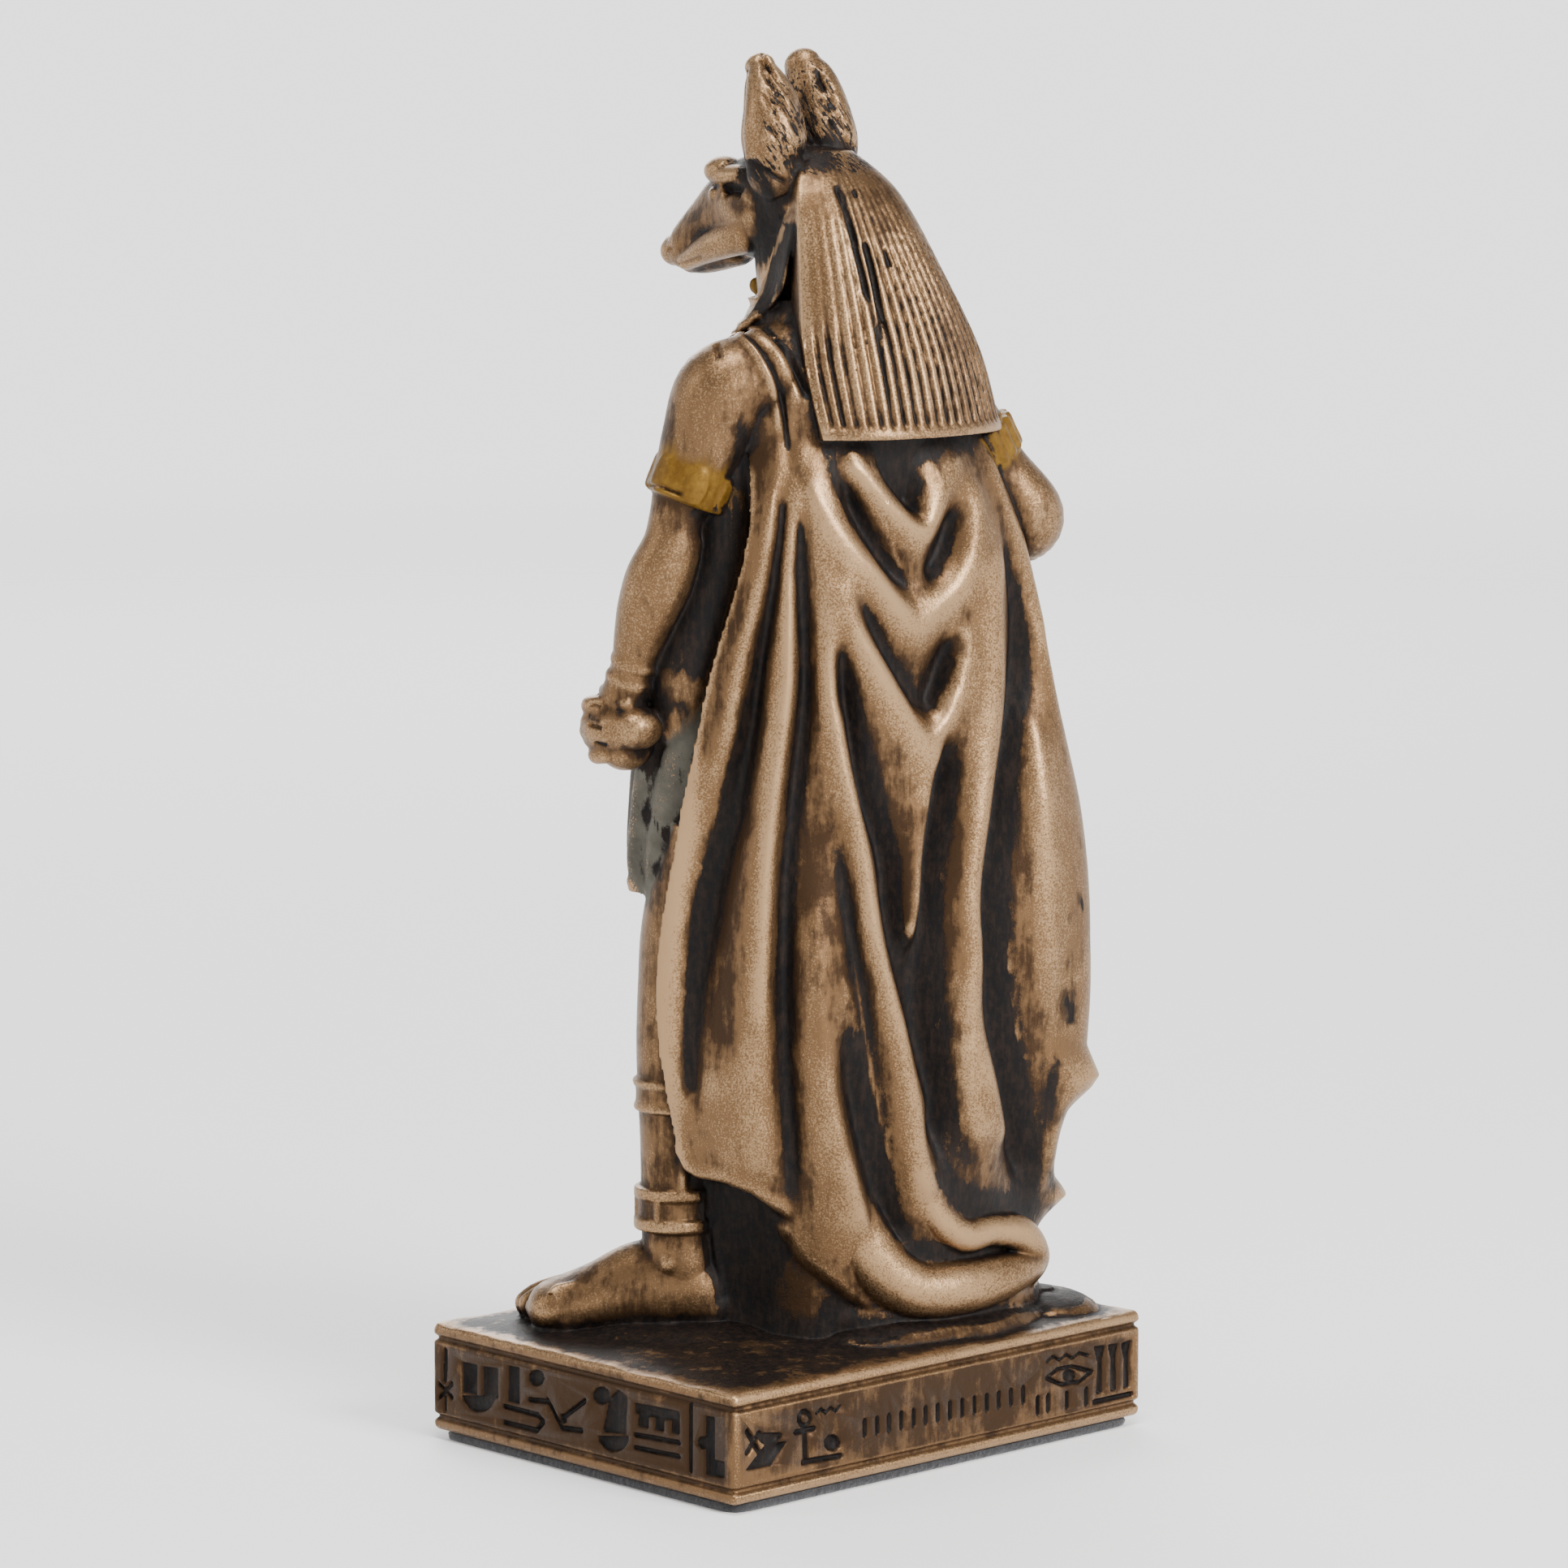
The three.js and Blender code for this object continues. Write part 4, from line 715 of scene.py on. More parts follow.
def ear(side, forward, outward, slim, tip, slack):
    """A leaf-shaped cup that opens forwards and outwards."""
    opening = math.radians(EAR_FRONT + EAR_OUTWARDS * side)

    def cup(share, angle):
        turned = np.angle(np.exp(1j * (angle - opening)))
        hollow = EAR_HOLLOW * np.exp(-(turned / 0.55) ** 2)
        return 1 - hollow * smoothstep(0.12, 0.4, share) * smoothstep(1.0, 0.9, share)

    points, faces = tube([
        [2.4 * side, 1, 71.8, 1.3, 1.3], [2.6 * side, 0.2, 73.7, 2.05 - slim, 2.05],
        [2.65 * side, -0.2, 75.3, 2.3 - slim, 2.5 - slim],
        [2.6 * side - tip * 0.4, -0.6 + tip * 0.4, 77.2, 2.0 - slim, 2.2 - slim],
        [2.5 * side - tip, -1.4 + tip, 78.9, 1.5 - slack, 1.75 - slack],
        [2.45 * side - tip * 1.6, -1.9 + tip * 1.6, 79.8, 1.1 - slack * 1.6, 1.25 - slack * 1.6]],
        side=BACK_WAY, sides=56, spacing=0.2, ends=(False, True), shape=cup)
    return points + [outward, forward, 0], faces


def head():
    shapes = [tube(SKULL, sides=56), tube(JAW), ball([0, -10.8, 68.4], [0.9, 0.65, 0.62])]
    for side in (1, -1):
        shapes += [ball(on_side(middle, side), radii) for middle, radii in FACE_PADS]
        shapes += [tube(on_side(EYE_RIDGE, side), side=BACK_WAY), tube(on_side(CHEEK, side)),
                   ear(side, **EARS[side])]
    return placed(shapes, HEAD_TURN, HEAD_PLACE)


LAPPET = [[3.3, 1.6, 72.3, 1.0, 0.17], [3.95, 1.2, 70.3, 1.3, 0.17], [4.05, 0.8, 68.4, 1.4, 0.17],
          [3.95, 0.1, 66.4, 1.5, 0.2], [3.8, -2.0, 64.2, 1.6, 0.28], [3.6, -3.5, 61.6, 1.7, 0.4],
          [3.35, -3.7, 57.5, 1.7, 0.42], [3.3, -3.5, 53.5, 1.6, 0.4]]
# The way that it faces at each of these places
LAPPET_WAYS = [[0.8, -0.55, 0], [0.8, -0.55, 0], [0.8, -0.6, 0], [0.75, -0.65, 0], [0.5, -0.85, 0.3],
               [0.3, -0.95, 0.1], [0.1, -1, 0], [0, -1, 0]]


def lappets():
    """The front flaps of the headdress run from under the ears down onto the chest."""
    shapes = [tube(on_side(LAPPET, side), side=on_side(LAPPET_WAYS, side), section=3.5) for side in (1, -1)]
    return placed(shapes, HEAD_TURN, HEAD_PLACE)


def crown():
    """The top of the headdress, between the ears and the back panel."""
    return [ball([0, 2.2, 71.6], [3.9, 3.5, 3.3])]


# The trunk and the arms; a body through levels has rows of [height, x, y, half width, half depth]

TORSO_TURN = -12
CHEST = [[38, 1, 2.6, 7.4, 5.2], [44, 0.6, 3.4, 6.6, 4.5], [50, 0.2, 4.1, 7.2, 4.6], [56, 0, 4.5, 8.6, 5],
         [60, 0, 4.6, 8.8, 4.7], [63, 0, 4.4, 6.4, 3.6], [64.6, 0, 4, 3.6, 3]]
NECK = [[0, 3.6, 60, 3.8, 3.6], [0.2, 2.4, 64, 3.3, 3.2], [0.1, 1.4, 69, 3.1, 3.1]]
LEFT_FLANK = [[6.6, 3, 59, 2, 2.2], [7.3, 2.4, 55, 2.3, 2.4], [7.3, 1.9, 50, 2.2, 2.3],
              [8.1, 1, 45.5, 2.4, 2.4], [8.8, 0.2, 42, 2.4, 2.4], [8.8, -0.4, 39, 2, 2]]
RIGHT_FLANK = [[-6.4, 4.2, 58, 2, 2.2], [-6.7, 4, 53, 2.1, 2.3], [-6.2, 4.1, 47, 1.9, 2],
               [-5.6, 4, 42, 1.8, 2], [-5, 4, 38, 1.6, 1.8]]
BELLY_ROWS = [53, 50.4, 47.8]


def trunk():
    shapes = [levels(CHEST, turn=TORSO_TURN), tube(NECK, side=BACK_WAY),
              ball([3.6, 0.9, 57.4], [3.6, 2.2, 2.3]), ball([-3.6, 1.9, 57.4], [3.6, 2.2, 2.3]),
              tube(LEFT_FLANK, side=BACK_WAY), tube(RIGHT_FLANK, side=BACK_WAY)]
    for row, height in enumerate(BELLY_ROWS):
        for side in (1, -1):
            shapes.append(ball([0.9 + 1.15 * side, -0.5 + 0.05 * row, height], [1.2, 0.8, 1.15]))
    return shapes


COLLAR = [[58.2, 0, 3.2, 6.7, 4.5], [61.2, 0, 3.4, 6.5, 4.7], [63.8, 0.1, 3, 4.8, 4.1],
          [65.4, 0.2, 2.4, 4, 3.9]]
COLLAR_BEADS = 46
COLLAR_ROW = 5.2


def collar():
    """A broad collar of rows of short beads round the neck."""
    def rows(height, angle):
        row = np.sin(height * COLLAR_ROW)
        return 1 + 0.018 * np.sin(angle * COLLAR_BEADS) * (0.5 + 0.5 * row) + 0.02 * row

    return [levels(COLLAR, sides=276, turn=TORSO_TURN, spacing=0.12, shape=rows)]


def throat_bead():
    return [ball([1.4, -1.4, 66], [0.5, 0.5, 0.55])]


def hoop(middle, radius, height, lean=(0, 0, 1), thickness=0.3, shape=None):
    """A band round a limb, with edges as thick as it stands out."""
    way = unit(np.array(lean, float))
    start = np.array(middle, float)
    edge = 1 - thickness / radius
    stations = [[*(start + way * share * height), radius * size, radius * size]
                for share, size in ((-0.5, edge), (-0.42, 1), (0, 1), (0.42, 1), (0.5, edge))]
    return tube(stations, side=BACK_WAY, sides=96, spacing=0.1, ends=(False, False), shape=shape)


DISCS = 6
FLUTES = 9


def disc_band(share, angle):
    """Round discs side by side between two narrow rims."""
    across = (share - 0.5) * 2.2
    along_band = (np.angle(np.exp(1j * angle * DISCS)) / DISCS) * 2.5
    disc = smoothstep(0.82, 0.66, np.hypot(across, along_band))
    rim = smoothstep(0.36, 0.44, np.abs(share - 0.5))
    return 0.94 + 0.07 * np.maximum(disc, 0.4 * rim)


def fluted_band(share, angle):
    """Upright flutes all round."""
    return 0.91 + 0.09 * np.abs(np.cos(angle * FLUTES))


# Each finger from the lowest up: its thickness and how far it stands out
FINGERS = ((0.56, 0.0), (0.62, 0.18), (0.66, 0.25), (0.62, 0.12))
LOWEST_FINGER = -1.55
FINGER_PITCH = 1.03


def fist(middle, knuckles, thumb_way):
    """A closed hand: four fingers one above the other, and the thumb laid over the upper two."""
    out = unit(np.array(knuckles, float))
    up = unit(np.array(thumb_way, float) - out * (np.array(thumb_way, float) @ out))
    across = np.cross(up, out)

    def spot(u, v, w):
        return (np.array(middle, float) + out * u + across * v + up * w).tolist()

    shapes = [tube([[*spot(-1.6, 0.3, 0), 1.4, 1.75], [*spot(-0.4, 0.2, 0), 1.7, 2.1],
                    [*spot(0.8, 0.1, 0), 1.6, 2.1], [*spot(1.6, 0, 0), 1.1, 1.8]], side=across.tolist())]
    for finger, (size, reach) in enumerate(FINGERS):
        w = LOWEST_FINGER + FINGER_PITCH * finger
        knuckle = size * 1.08
        shapes.append(tube([
            [*spot(0.3, 1.25, w), size, size], [*spot(1.35 + reach, 1.05, w), knuckle, knuckle],
            [*spot(1.95 + reach, 0, w), size, size], [*spot(1.25 + reach, -1.1, w), size, size],
            [*spot(0.1, -1.25, w), size * 0.9, size * 0.9]], side=up.tolist(), sides=20, spacing=0.2))
    shapes.append(tube([[*spot(-1.3, 0.9, 1.6), 0.66, 0.62], [*spot(0.2, 0.6, 2.35), 0.62, 0.56],
                        [*spot(1.3, -0.4, 2.3), 0.58, 0.5], [*spot(1.7, -1.2, 1.7), 0.48, 0.42]],
                       side=up.tolist(), sides=20, spacing=0.2))
    return shapes


LEFT_ARM = [[6.9, 4.3, 60.9, 2.6, 2.6], [8.45, 3.15, 59.8, 3.1, 3.0], [9.5, 2.5, 57, 2.65, 2.75],
            [10.4, 1.9, 54.2, 2.1, 2.2], [10.95, 1.45, 52, 1.62, 1.75], [11.2, 1.3, 50.2, 1.9, 1.9],
            [11.65, 0.65, 48.2, 2.15, 2.1], [11.85, -0.1, 46.4, 1.98, 1.95], [11.75, -0.9, 44.6, 1.75, 1.7],
            [11.75, -1.6, 42.6, 1.45, 1.45], [11.8, -2.5, 40.4, 1.6, 1.55]]
RIGHT_ARM = [[-6, 5.4, 60.4, 2.5, 2.5], [-7.6, 5.9, 59.4, 2.6, 2.6], [-8.8, 6.5, 57.4, 2.5, 2.5],
             [-10.7, 7.5, 54.2, 2.35, 2.35], [-12.9, 8.6, 51.2, 2.35, 2.35], [-12.8, 6.8, 49.9, 2.1, 2.1],
             [-12, 3.8, 50.8, 1.95, 1.9], [-10, 1.3, 52.2, 1.7, 1.6], [-8.2, -0.4, 53.2, 1.2, 1.2]]
# Middle, radius, height and lean of each band, and how thick its edges are
WRIST_BANDS = (([11.7, -1.5, 42.9], 1.6, 0.5, (0, 0.35, 1), 0.15),
               ([11.75, -1.95, 41.8], 1.58, 0.5, (0, 0.35, 1), 0.15),
               ([-9.4, 0.8, 52.6], 1.75, 0.7, (-1, 1, -0.5), 0.3),
               ([-8.6, 0.0, 53], 1.65, 0.7, (-1, 1, -0.5), 0.3))


def left_arm():
    """The arm hangs down, with the fist at the thigh."""
    palm = ball([11.6, -2.6, 37.7], [1.8, 1.8, 1.8])
    hand = fist([11.75, -2.7, 38.6], [0.1, -1, -0.1], [0, 0.15, 1])
    return [tube(LEFT_ARM, side=BACK_WAY, sides=64), palm] + hand


def right_arm():
    """The arm is bent, with the fist on the chest."""
    hand = fist([-6.9, -1.3, 53.9], [1, -0.5, 0.2], [0.2, -0.2, 1])
    return [tube(RIGHT_ARM, side=(0, 1, 0.4), sides=64)] + hand


def wrist_bands():
    return [hoop(*band) for band in WRIST_BANDS]


def armlets():
    return [hoop([10.25, 1.95, 54.2], 2.62, 2.5, (-0.35, 0.2, 1), shape=disc_band),
            hoop([-9.8, 7, 55.8], 2.85, 2.4, (0.5, -0.15, 1), shape=fluted_band)]


LEFT_STRAP = [[6.9, 5.2, 59.6, 1.3, 0.5], [6.3, 3.8, 61.8, 1.3, 0.5], [5.6, 2, 62.7, 1.2, 0.5],
              [5.1, 0.2, 61.6, 1.1, 0.5], [4.4, -1.3, 59, 1, 0.5]]
RIGHT_STRAP = [[-7.2, 8, 58, 1.5, 0.8], [-6.6, 6.4, 62, 1.4, 0.8], [-6, 4.4, 63.6, 1.3, 0.7],
               [-5.4, 2.2, 62, 1.2, 0.7], [-5, 0.6, 59, 1.1, 0.6]]
STUD_PLACES = np.arange(1.9, 3.9, 0.42)


def straps():
    """The cape's gathered top runs over each shoulder and down the chest, with studs along it."""
    shapes = []
    for path in (LEFT_STRAP, RIGHT_STRAP):
        shapes.append(tube(path, side=(0, 0.3, 1), section=3.2))
        for t in STUD_PLACES:
            x, y, h, _, thickness = curve(path, np.array([t]))[0]
            shapes.append(ball([x * 1.02, y, h + thickness * 0.86], [0.3, 0.3, 0.22]))
    return shapes


# Below the waist

KILT_TURN = -20
BELT = [[42.2, 0.9, 2.2, 8.8, 5.1], [42.6, 0.9, 2.2, 9, 5.3], [43.4, 0.9, 2.2, 8.95, 5.2],
        [44.2, 0.8, 2.3, 8.85, 5.15], [44.9, 0.8, 2.4, 8.8, 5.1], [45.3, 0.8, 2.4, 8.4, 4.8]]
BELT_LINKS = 22


def belt():
    """A belt of upright links."""
    def links(height, angle):
        return 1 + 0.012 * np.cos(angle * BELT_LINKS)

    return [levels(BELT, sides=220, turn=KILT_TURN, spacing=0.1, shape=links)]


# From the waist down, evenly spaced: [x, y, half width, half depth]
KILT_LEVELS = np.array([[0.9, 2.2, 8.8, 5], [1.1, 1.5, 9.5, 5.4], [1.3, 0.5, 9.7, 5.8], [1.5, -0.3, 9.35, 6],
                        [1.5, -0.7, 9.2, 6], [1.4, -0.7, 8.5, 5.8]])
KILT_TOP = 44
KILT_FALL = 18
KILT_PLEATS = 15
KILT_SLANT = 0.28
KILT_PLEAT = 0.05
# The hem's height, how much higher it rises, the way in degrees that the rise is on, and how far it reaches
KILT_HEM = 25.4
KILT_RISE = 2.4
KILT_RISE_WAY = -23
KILT_RISE_FADE = (math.cos(1.25), math.cos(0.3))
# The trim along the hem: how far it stands out, as a share, and from where down
TRIM, TRIM_FADE = 0.025, (0.93, 0.96)
KILT_SIDES, KILT_ROWS = 300, 70


def kilt():
    """A pleated cloth round both thighs, with a thin trim along its hem."""
    angle = full_turn(KILT_SIDES)[None, :]
    t = np.linspace(0, 1, KILT_ROWS)[:, None]
    rise = smoothstep(*KILT_RISE_FADE, np.cos(angle - math.radians(KILT_RISE_WAY)))
    hem = KILT_HEM + KILT_RISE * rise
    height = KILT_TOP * (1 - t) + hem * t
    level = (KILT_TOP - height) / KILT_FALL * (len(KILT_LEVELS) - 1)
    values = np.stack([curve(KILT_LEVELS, level[:, i]) for i in range(KILT_SIDES)], 1)
    x, y, half_width, half_depth = np.moveaxis(values, -1, 0)
    slant = angle * KILT_PLEATS + (KILT_TOP - height) * KILT_SLANT
    pleat = 1 - KILT_PLEAT * smoothstep(0, 0.3, t) * (0.5 + 0.5 * np.cos(slant)) ** 1.5
    trim = 1 + TRIM * smoothstep(*TRIM_FADE, t)
    u, v = half_width * np.cos(angle) * pleat * trim, half_depth * np.sin(angle) * pleat * trim
    rings = level_rings(x, y, u, v, height, KILT_TURN)
    inner = rings[-1:] * [0.75, 0.75, 1] + [0.6, 0, 0.8]
    return [skin(np.concatenate([rings, inner]))]


APRON = [[1, -2.1, 43.4, 1.5, 0.5], [1.6, -3.7, 38, 1.8, 0.5], [2.2, -6.2, 33, 2.1, 0.5],
         [2.3, -7.1, 28, 2.4, 0.5], [2.3, -7.1, 25, 2.5, 0.5]]


def apron():
    """The stiff front of the kilt, with chevrons."""
    def chevrons(share, angle):
        return 1 + 0.05 * np.sin(share * 60 + 2 * np.abs(np.cos(angle)))

    return [tube(APRON, side=(0, 1, 0.2), section=3.5, shape=chevrons, spacing=0.15)]


LEFT_LEG = [[6.6, 0.4, 32, 3.4, 3.4], [7.6, -0.9, 26, 3.1, 3.1], [8, -1.4, 22, 2.7, 2.8],
            [8.2, -1.3, 17.5, 2.75, 2.8], [8.3, -1.5, 12, 2.3, 2.4], [8.2, -1.7, 7.5, 2.15, 2.3],
            [8.1, -1.5, 4, 2.15, 2.35], [7.9, -1.3, 1, 1.5, 1.7]]
RIGHT_LEG = [[-3, 1.9, 34, 2.6, 2.6], [-4, 1.3, 27, 3.1, 3.1], [-4.7, 1.1, 22, 2.7, 2.8],
             [-5, 1.4, 17.5, 2.75, 2.8], [-5.2, 1.6, 12, 2.3, 2.4], [-5.2, 1.7, 7.5, 2.15, 2.3],
             [-5.2, 1.7, 4, 2.15, 2.35], [-5.1, 1.9, 1, 1.5, 1.7]]
# Each leg with the middles of its ankle and calf
LEGS = ((LEFT_LEG, (8.3, -1.7), (8.3, -1.4)), (RIGHT_LEG, (-5.2, 1.7), (-5.1, 1.5)))
# Height, radius, width and edge of each band
CALF_BANDS = ((15.9, 2.86, 0.42, 0.3), (14.3, 2.8, 0.42, 0.3), (15.1, 2.66, 1.6, 0.3))
ANKLE_BANDS = ((8.75, 2.6, 0.75, 0.2), (6.75, 2.62, 0.8, 0.2), (7.8, 2.36, 1.6, 0.3))
PEG_WAYS = np.radians([20, 95, 170, 245, 320])
PEG_RADIUS = 2.36
BAR_WAYS = np.radians([60, 240])


def bar(calf, ankle, turn):
    """A flat bar down the shin or calf, between the upper and the lower bands."""
    start = on_circle(calf, 2.5, turn)
    near_ankle = [c * 0.15 + a * 0.85 for c, a in zip(calf, ankle)]
    halfway = [(s + n) / 2 for s, n in zip(start, near_ankle)]
    places = [(*start, 14.2), (*on_circle(halfway, 1.15, turn), 11.6), (*on_circle(near_ankle, 2.2, turn), 9)]
    return tube([[*place, 0.35, 0.28] for place in places], side=BACK_WAY, sides=20, section=3.5)


def legs():
    """Both legs with a band below the knee and one at the ankle, joined by bars."""
    shapes = []
    for path, ankle, calf in LEGS:
        shapes += [tube(path, side=BACK_WAY, sides=64, ends=(False, False)),
                   ball([calf[0], calf[1] - 1.6, 23.2], [1.3, 1.1, 1.5])]
        for middle, bands in ((calf, CALF_BANDS), (ankle, ANKLE_BANDS)):
            for height, radius, width, thickness in bands:
                shapes.append(hoop([*middle, height], radius, width, thickness=thickness))
        for turn in PEG_WAYS:
            x, y = on_circle(ankle, PEG_RADIUS, turn)
            stations = [[x, y, height, 0.2, 0.25] for height in (6.9, 7.8, 8.6)]
            shapes.append(tube(stations, side=BACK_WAY, sides=16))
        shapes += [bar(calf, ankle, turn) for turn in BAR_WAYS]
    return shapes


# How far each foot reaches below the plinth's top, and its heel, instep and ball: [reach, half width, height]
FOOT_SUNK = 0.8
FOOT = [[0.7, 1.6, 3.2], [2.4, 2.3, 5.4], [5, 2.3, 5.4], [8, 2.5, 3.9], [10.8, 2.65, 2.7]]
# The toes from the big one: each one's thickness, and how far aside of the foot's middle the first one is and
# how far apart they are; how far the first one reaches and how the others fall back
TOES = (0.74, 0.54, 0.54, 0.54, 0.54)
TOE_ASIDE, TOE_PITCH = -1.95, 0.98
TOE_REACH, TOE_FALL, TOE_CURVE = 13.7, 0.15, 0.16
# Each foot's heel, the degrees by which it turns to the left, and the side of its little toe
FEET = (((6.4, 0.6), 37.8, 1), ((-4.7, 4.2), -10, -1))


def foot(heel, degrees, little):
    """A foot from heel to toes."""
    turn = math.radians(degrees)
    way = (math.sin(turn), -math.cos(turn))
    across = (way[1] * -little, way[0] * little)

    def spot(reach, aside, h):
        return [heel[0] + way[0] * reach + across[0] * aside, heel[1] + way[1] * reach + across[1] * aside, h]

    shapes = [tube([[*spot(reach, 0, (height - FOOT_SUNK) / 2), half, (height + FOOT_SUNK) / 2]
                    for reach, half, height in FOOT], sides=56),
              ball(spot(3, -1.75, 4.2), [0.75, 0.75, 0.9]), ball(spot(3, 1.75, 4.4), [0.75, 0.75, 0.9])]
    for toe, size in enumerate(TOES):
        aside = TOE_ASIDE + toe * TOE_PITCH
        reach = TOE_REACH - TOE_FALL * toe - TOE_CURVE * toe * toe
        shapes.append(tube([
            [*spot(8.4, aside * 0.8, 2.0), size * 0.8, 1.1], [*spot(10.2, aside * 0.95, 1.6), size, 1.15],
            [*spot(reach - 1.7, aside * 1.0, 1.15), size * 0.95, 1.0],
            [*spot(reach - 0.7, aside * 1.02, 0.55), size * 1.05, 0.9]],
            sides=24, spacing=0.2, ends=(False, True)))
    return shapes


def feet():
    return foot(*FEET[0]) + foot(*FEET[1])


# The plinth

LOWER_GROOVE, UPPER_GROOVE = 0.9, 6.05
GROOVE_HALF = 0.16
PLINTH_CORNER = 0.4
LEAST_CORNER = 0.25
PLINTH_EDGE = 0.4
BEVEL_TURNS = np.radians([0, 30, 60, 90])
# The top swells by this much, over these shares of the half depth
TOP_RISE = 0.45
TOP_SHARES = (0.1, 0.2, 0.35, 0.5, 0.65)
CORNER_STEPS = 10


def outline_ring(inset, z):
    """The plinth's outline with rounded corners, drawn in by an inset."""
    radius = max(PLINTH_CORNER - inset, LEAST_CORNER)
    x, y = PLINTH_HALF - inset - radius
    ring = []
    for corner, (cx, cy) in enumerate(((x, y), (-x, y), (-x, -y), (x, -y))):
        for i in range(CORNER_STEPS + 1):
            angle = math.pi / 2 * (corner + i / CORNER_STEPS)
            ring.append((cx + radius * math.cos(angle), cy + radius * math.sin(angle), z))
    return ring


def plinth(settings):
    """The block in profile from its underside to its domed top, with a groove above and below the frieze."""
    edge, half, depth = PLINTH_EDGE, GROOVE_HALF, settings.groove_depth
    profile = [(edge * (1 - math.sin(a)), edge * (1 - math.cos(a))) for a in BEVEL_TURNS]
    for middle in (LOWER_GROOVE, UPPER_GROOVE):
        profile += [(0, middle - half * 1.6), (depth, middle - half * 0.5), (depth, middle + half * 0.5),
                    (0, middle + half * 1.6)]
    shoulder = PLINTH_TOP - PLINTH_BOTTOM - TOP_RISE - edge
    profile += [(edge * (1 - math.cos(a)), shoulder + edge * math.sin(a)) for a in BEVEL_TURNS]
    profile += [(edge + PLINTH_HALF[1] * share, shoulder + edge + TOP_RISE * math.sin(share * 2.4))
                for share in TOP_SHARES]
    return [skin([outline_ring(inset, PLINTH_BOTTOM + z) for inset, z in profile])]


# Low swells of ground round the feet and behind the train: plan place, depth of its middle, radii
MOUNDS = ((-13.5, 4.5, 0.6, [3.8, 6.5, 1.5]), (6, -2, 0.8, [8.5, 8, 1.4]), (-4, 3, 0.8, [9, 9, 1.5]),
          (-5, 8.6, 0.4, [9.5, 4.4, 1.6]), (-14, 9, 0.8, [3.6, 4.4, 1.75]), (-9, -6, 0.7, [5, 4, 1.1]))


def mounds():
    return [ball([x, y, PLINTH_TOP - depth], radii) for x, y, depth, radii in MOUNDS]


# The frieze


def arc(middle, radius, start, end, stretch=1.0, steps=10):
    """Part of a circle between two angles in degrees; stretch widens or narrows it."""
    angles = np.radians(np.linspace(start, end, steps))
    return [(middle[0] + radius * stretch * math.cos(a), middle[1] - radius * math.sin(a)) for a in angles]


def rectangle(x0, y0, x1, y1, drop=0.0):
    """A block between two pixel corners; drop is how far its right side sits lower than its left."""
    return [(x0, y0), (x1, y0 + drop), (x1, y1 + drop), (x0, y1)]


# Marks on the left side of the plinth, as pixels: lines are (path, half width in mm), areas are outlines
LEFT_LINES = [
    ([(548, 1665), (547, 1700)], 0.22), ([(540, 1705), (556, 1722)], 0.14),
    ([(556, 1705), (540, 1722)], 0.14), ([(548, 1722), (548, 1737)], 0.16),
    ([(652, 1725), (672, 1727)], 0.14),
    ([(621, 1733), (662, 1744), (669, 1752), (660, 1763), (621, 1753)], 0.15),
    ([(674, 1725), (683, 1743), (691, 1760), (716, 1763)], 0.15), ([(694, 1746), (720, 1726)], 0.14),
    ([(694, 1748), (693, 1748)], 0.3), ([(782, 1768), (836, 1778)], 0.13), ([(782, 1784), (836, 1795)], 0.13),
    ([(850, 1732), (850, 1813)], 0.16),
]
LEFT_AREAS = [
    rectangle(569, 1679, 587, 1716, 3), rectangle(594, 1684, 613, 1720, 3), arc((589, 1720), 20, 180, 360),
    rectangle(625, 1683, 639, 1727, 3), arc((660, 1698), 10, 0, 360), arc((740, 1720), 11, 30, 330),
    [(742, 1765), (748, 1725), (760, 1712), (772, 1722), (770, 1768)], arc((755, 1770), 19, 180, 360),
    rectangle(782, 1729, 836, 1742, 11), rectangle(785, 1742, 798, 1758, 2),
    rectangle(806, 1746, 817, 1762, 2), rectangle(826, 1750, 836, 1766, 2), arc((866, 1778), 8, 0, 360),
    rectangle(868, 1745, 880, 1818, 2), rectangle(880, 1800, 892, 1820, 2),
]
# Marks on the back, at either end of it
BACK_LINES = [
    ([(921, 1764), (935, 1788)], 0.16), ([(936, 1766), (921, 1790)], 0.16),
    ([(981, 1765), (1003, 1760)], 0.15), ([(992, 1765), (993, 1799)], 0.17),
    (arc((992, 1748), 9, 0, 360, 0.8), 0.13), ([(990, 1802), (1036, 1794)], 0.15),
    ([(1006, 1742), (1012, 1736), (1018, 1741), (1024, 1734), (1030, 1739), (1035, 1732)], 0.06),
    ([(1290, 1678), (1298, 1671), (1306, 1676), (1314, 1669), (1322, 1674), (1330, 1667), (1341, 1670)],
     0.06),
    ([(1290, 1698), (1304, 1687), (1322, 1684), (1346, 1690), (1330, 1703), (1308, 1706), (1290, 1698)], 0.1),
    ([(1279, 1722), (1279, 1742)], 0.14), ([(1292, 1720), (1292, 1738)], 0.14),
    ([(1315, 1717), (1315, 1734)], 0.14), ([(1339, 1712), (1339, 1730)], 0.14),
    ([(1349, 1728), (1394, 1718)], 0.15),
]
BACK_AREAS = [
    arc((949, 1766), 15, 180, 360), [(920, 1812), (944, 1780), (969, 1777), (950, 1806)],
    arc((1026, 1778), 10, 0, 360), arc((1318, 1695), 8, 0, 360),
    [(1349, 1660), (1362, 1658), (1358, 1676), (1358, 1716), (1352, 1718), (1353, 1678)],
    [(1366, 1658), (1378, 1656), (1375, 1674), (1375, 1713), (1369, 1714), (1370, 1676)],
    [(1382, 1656), (1394, 1652), (1391, 1670), (1391, 1709), (1385, 1711), (1386, 1674)],
]
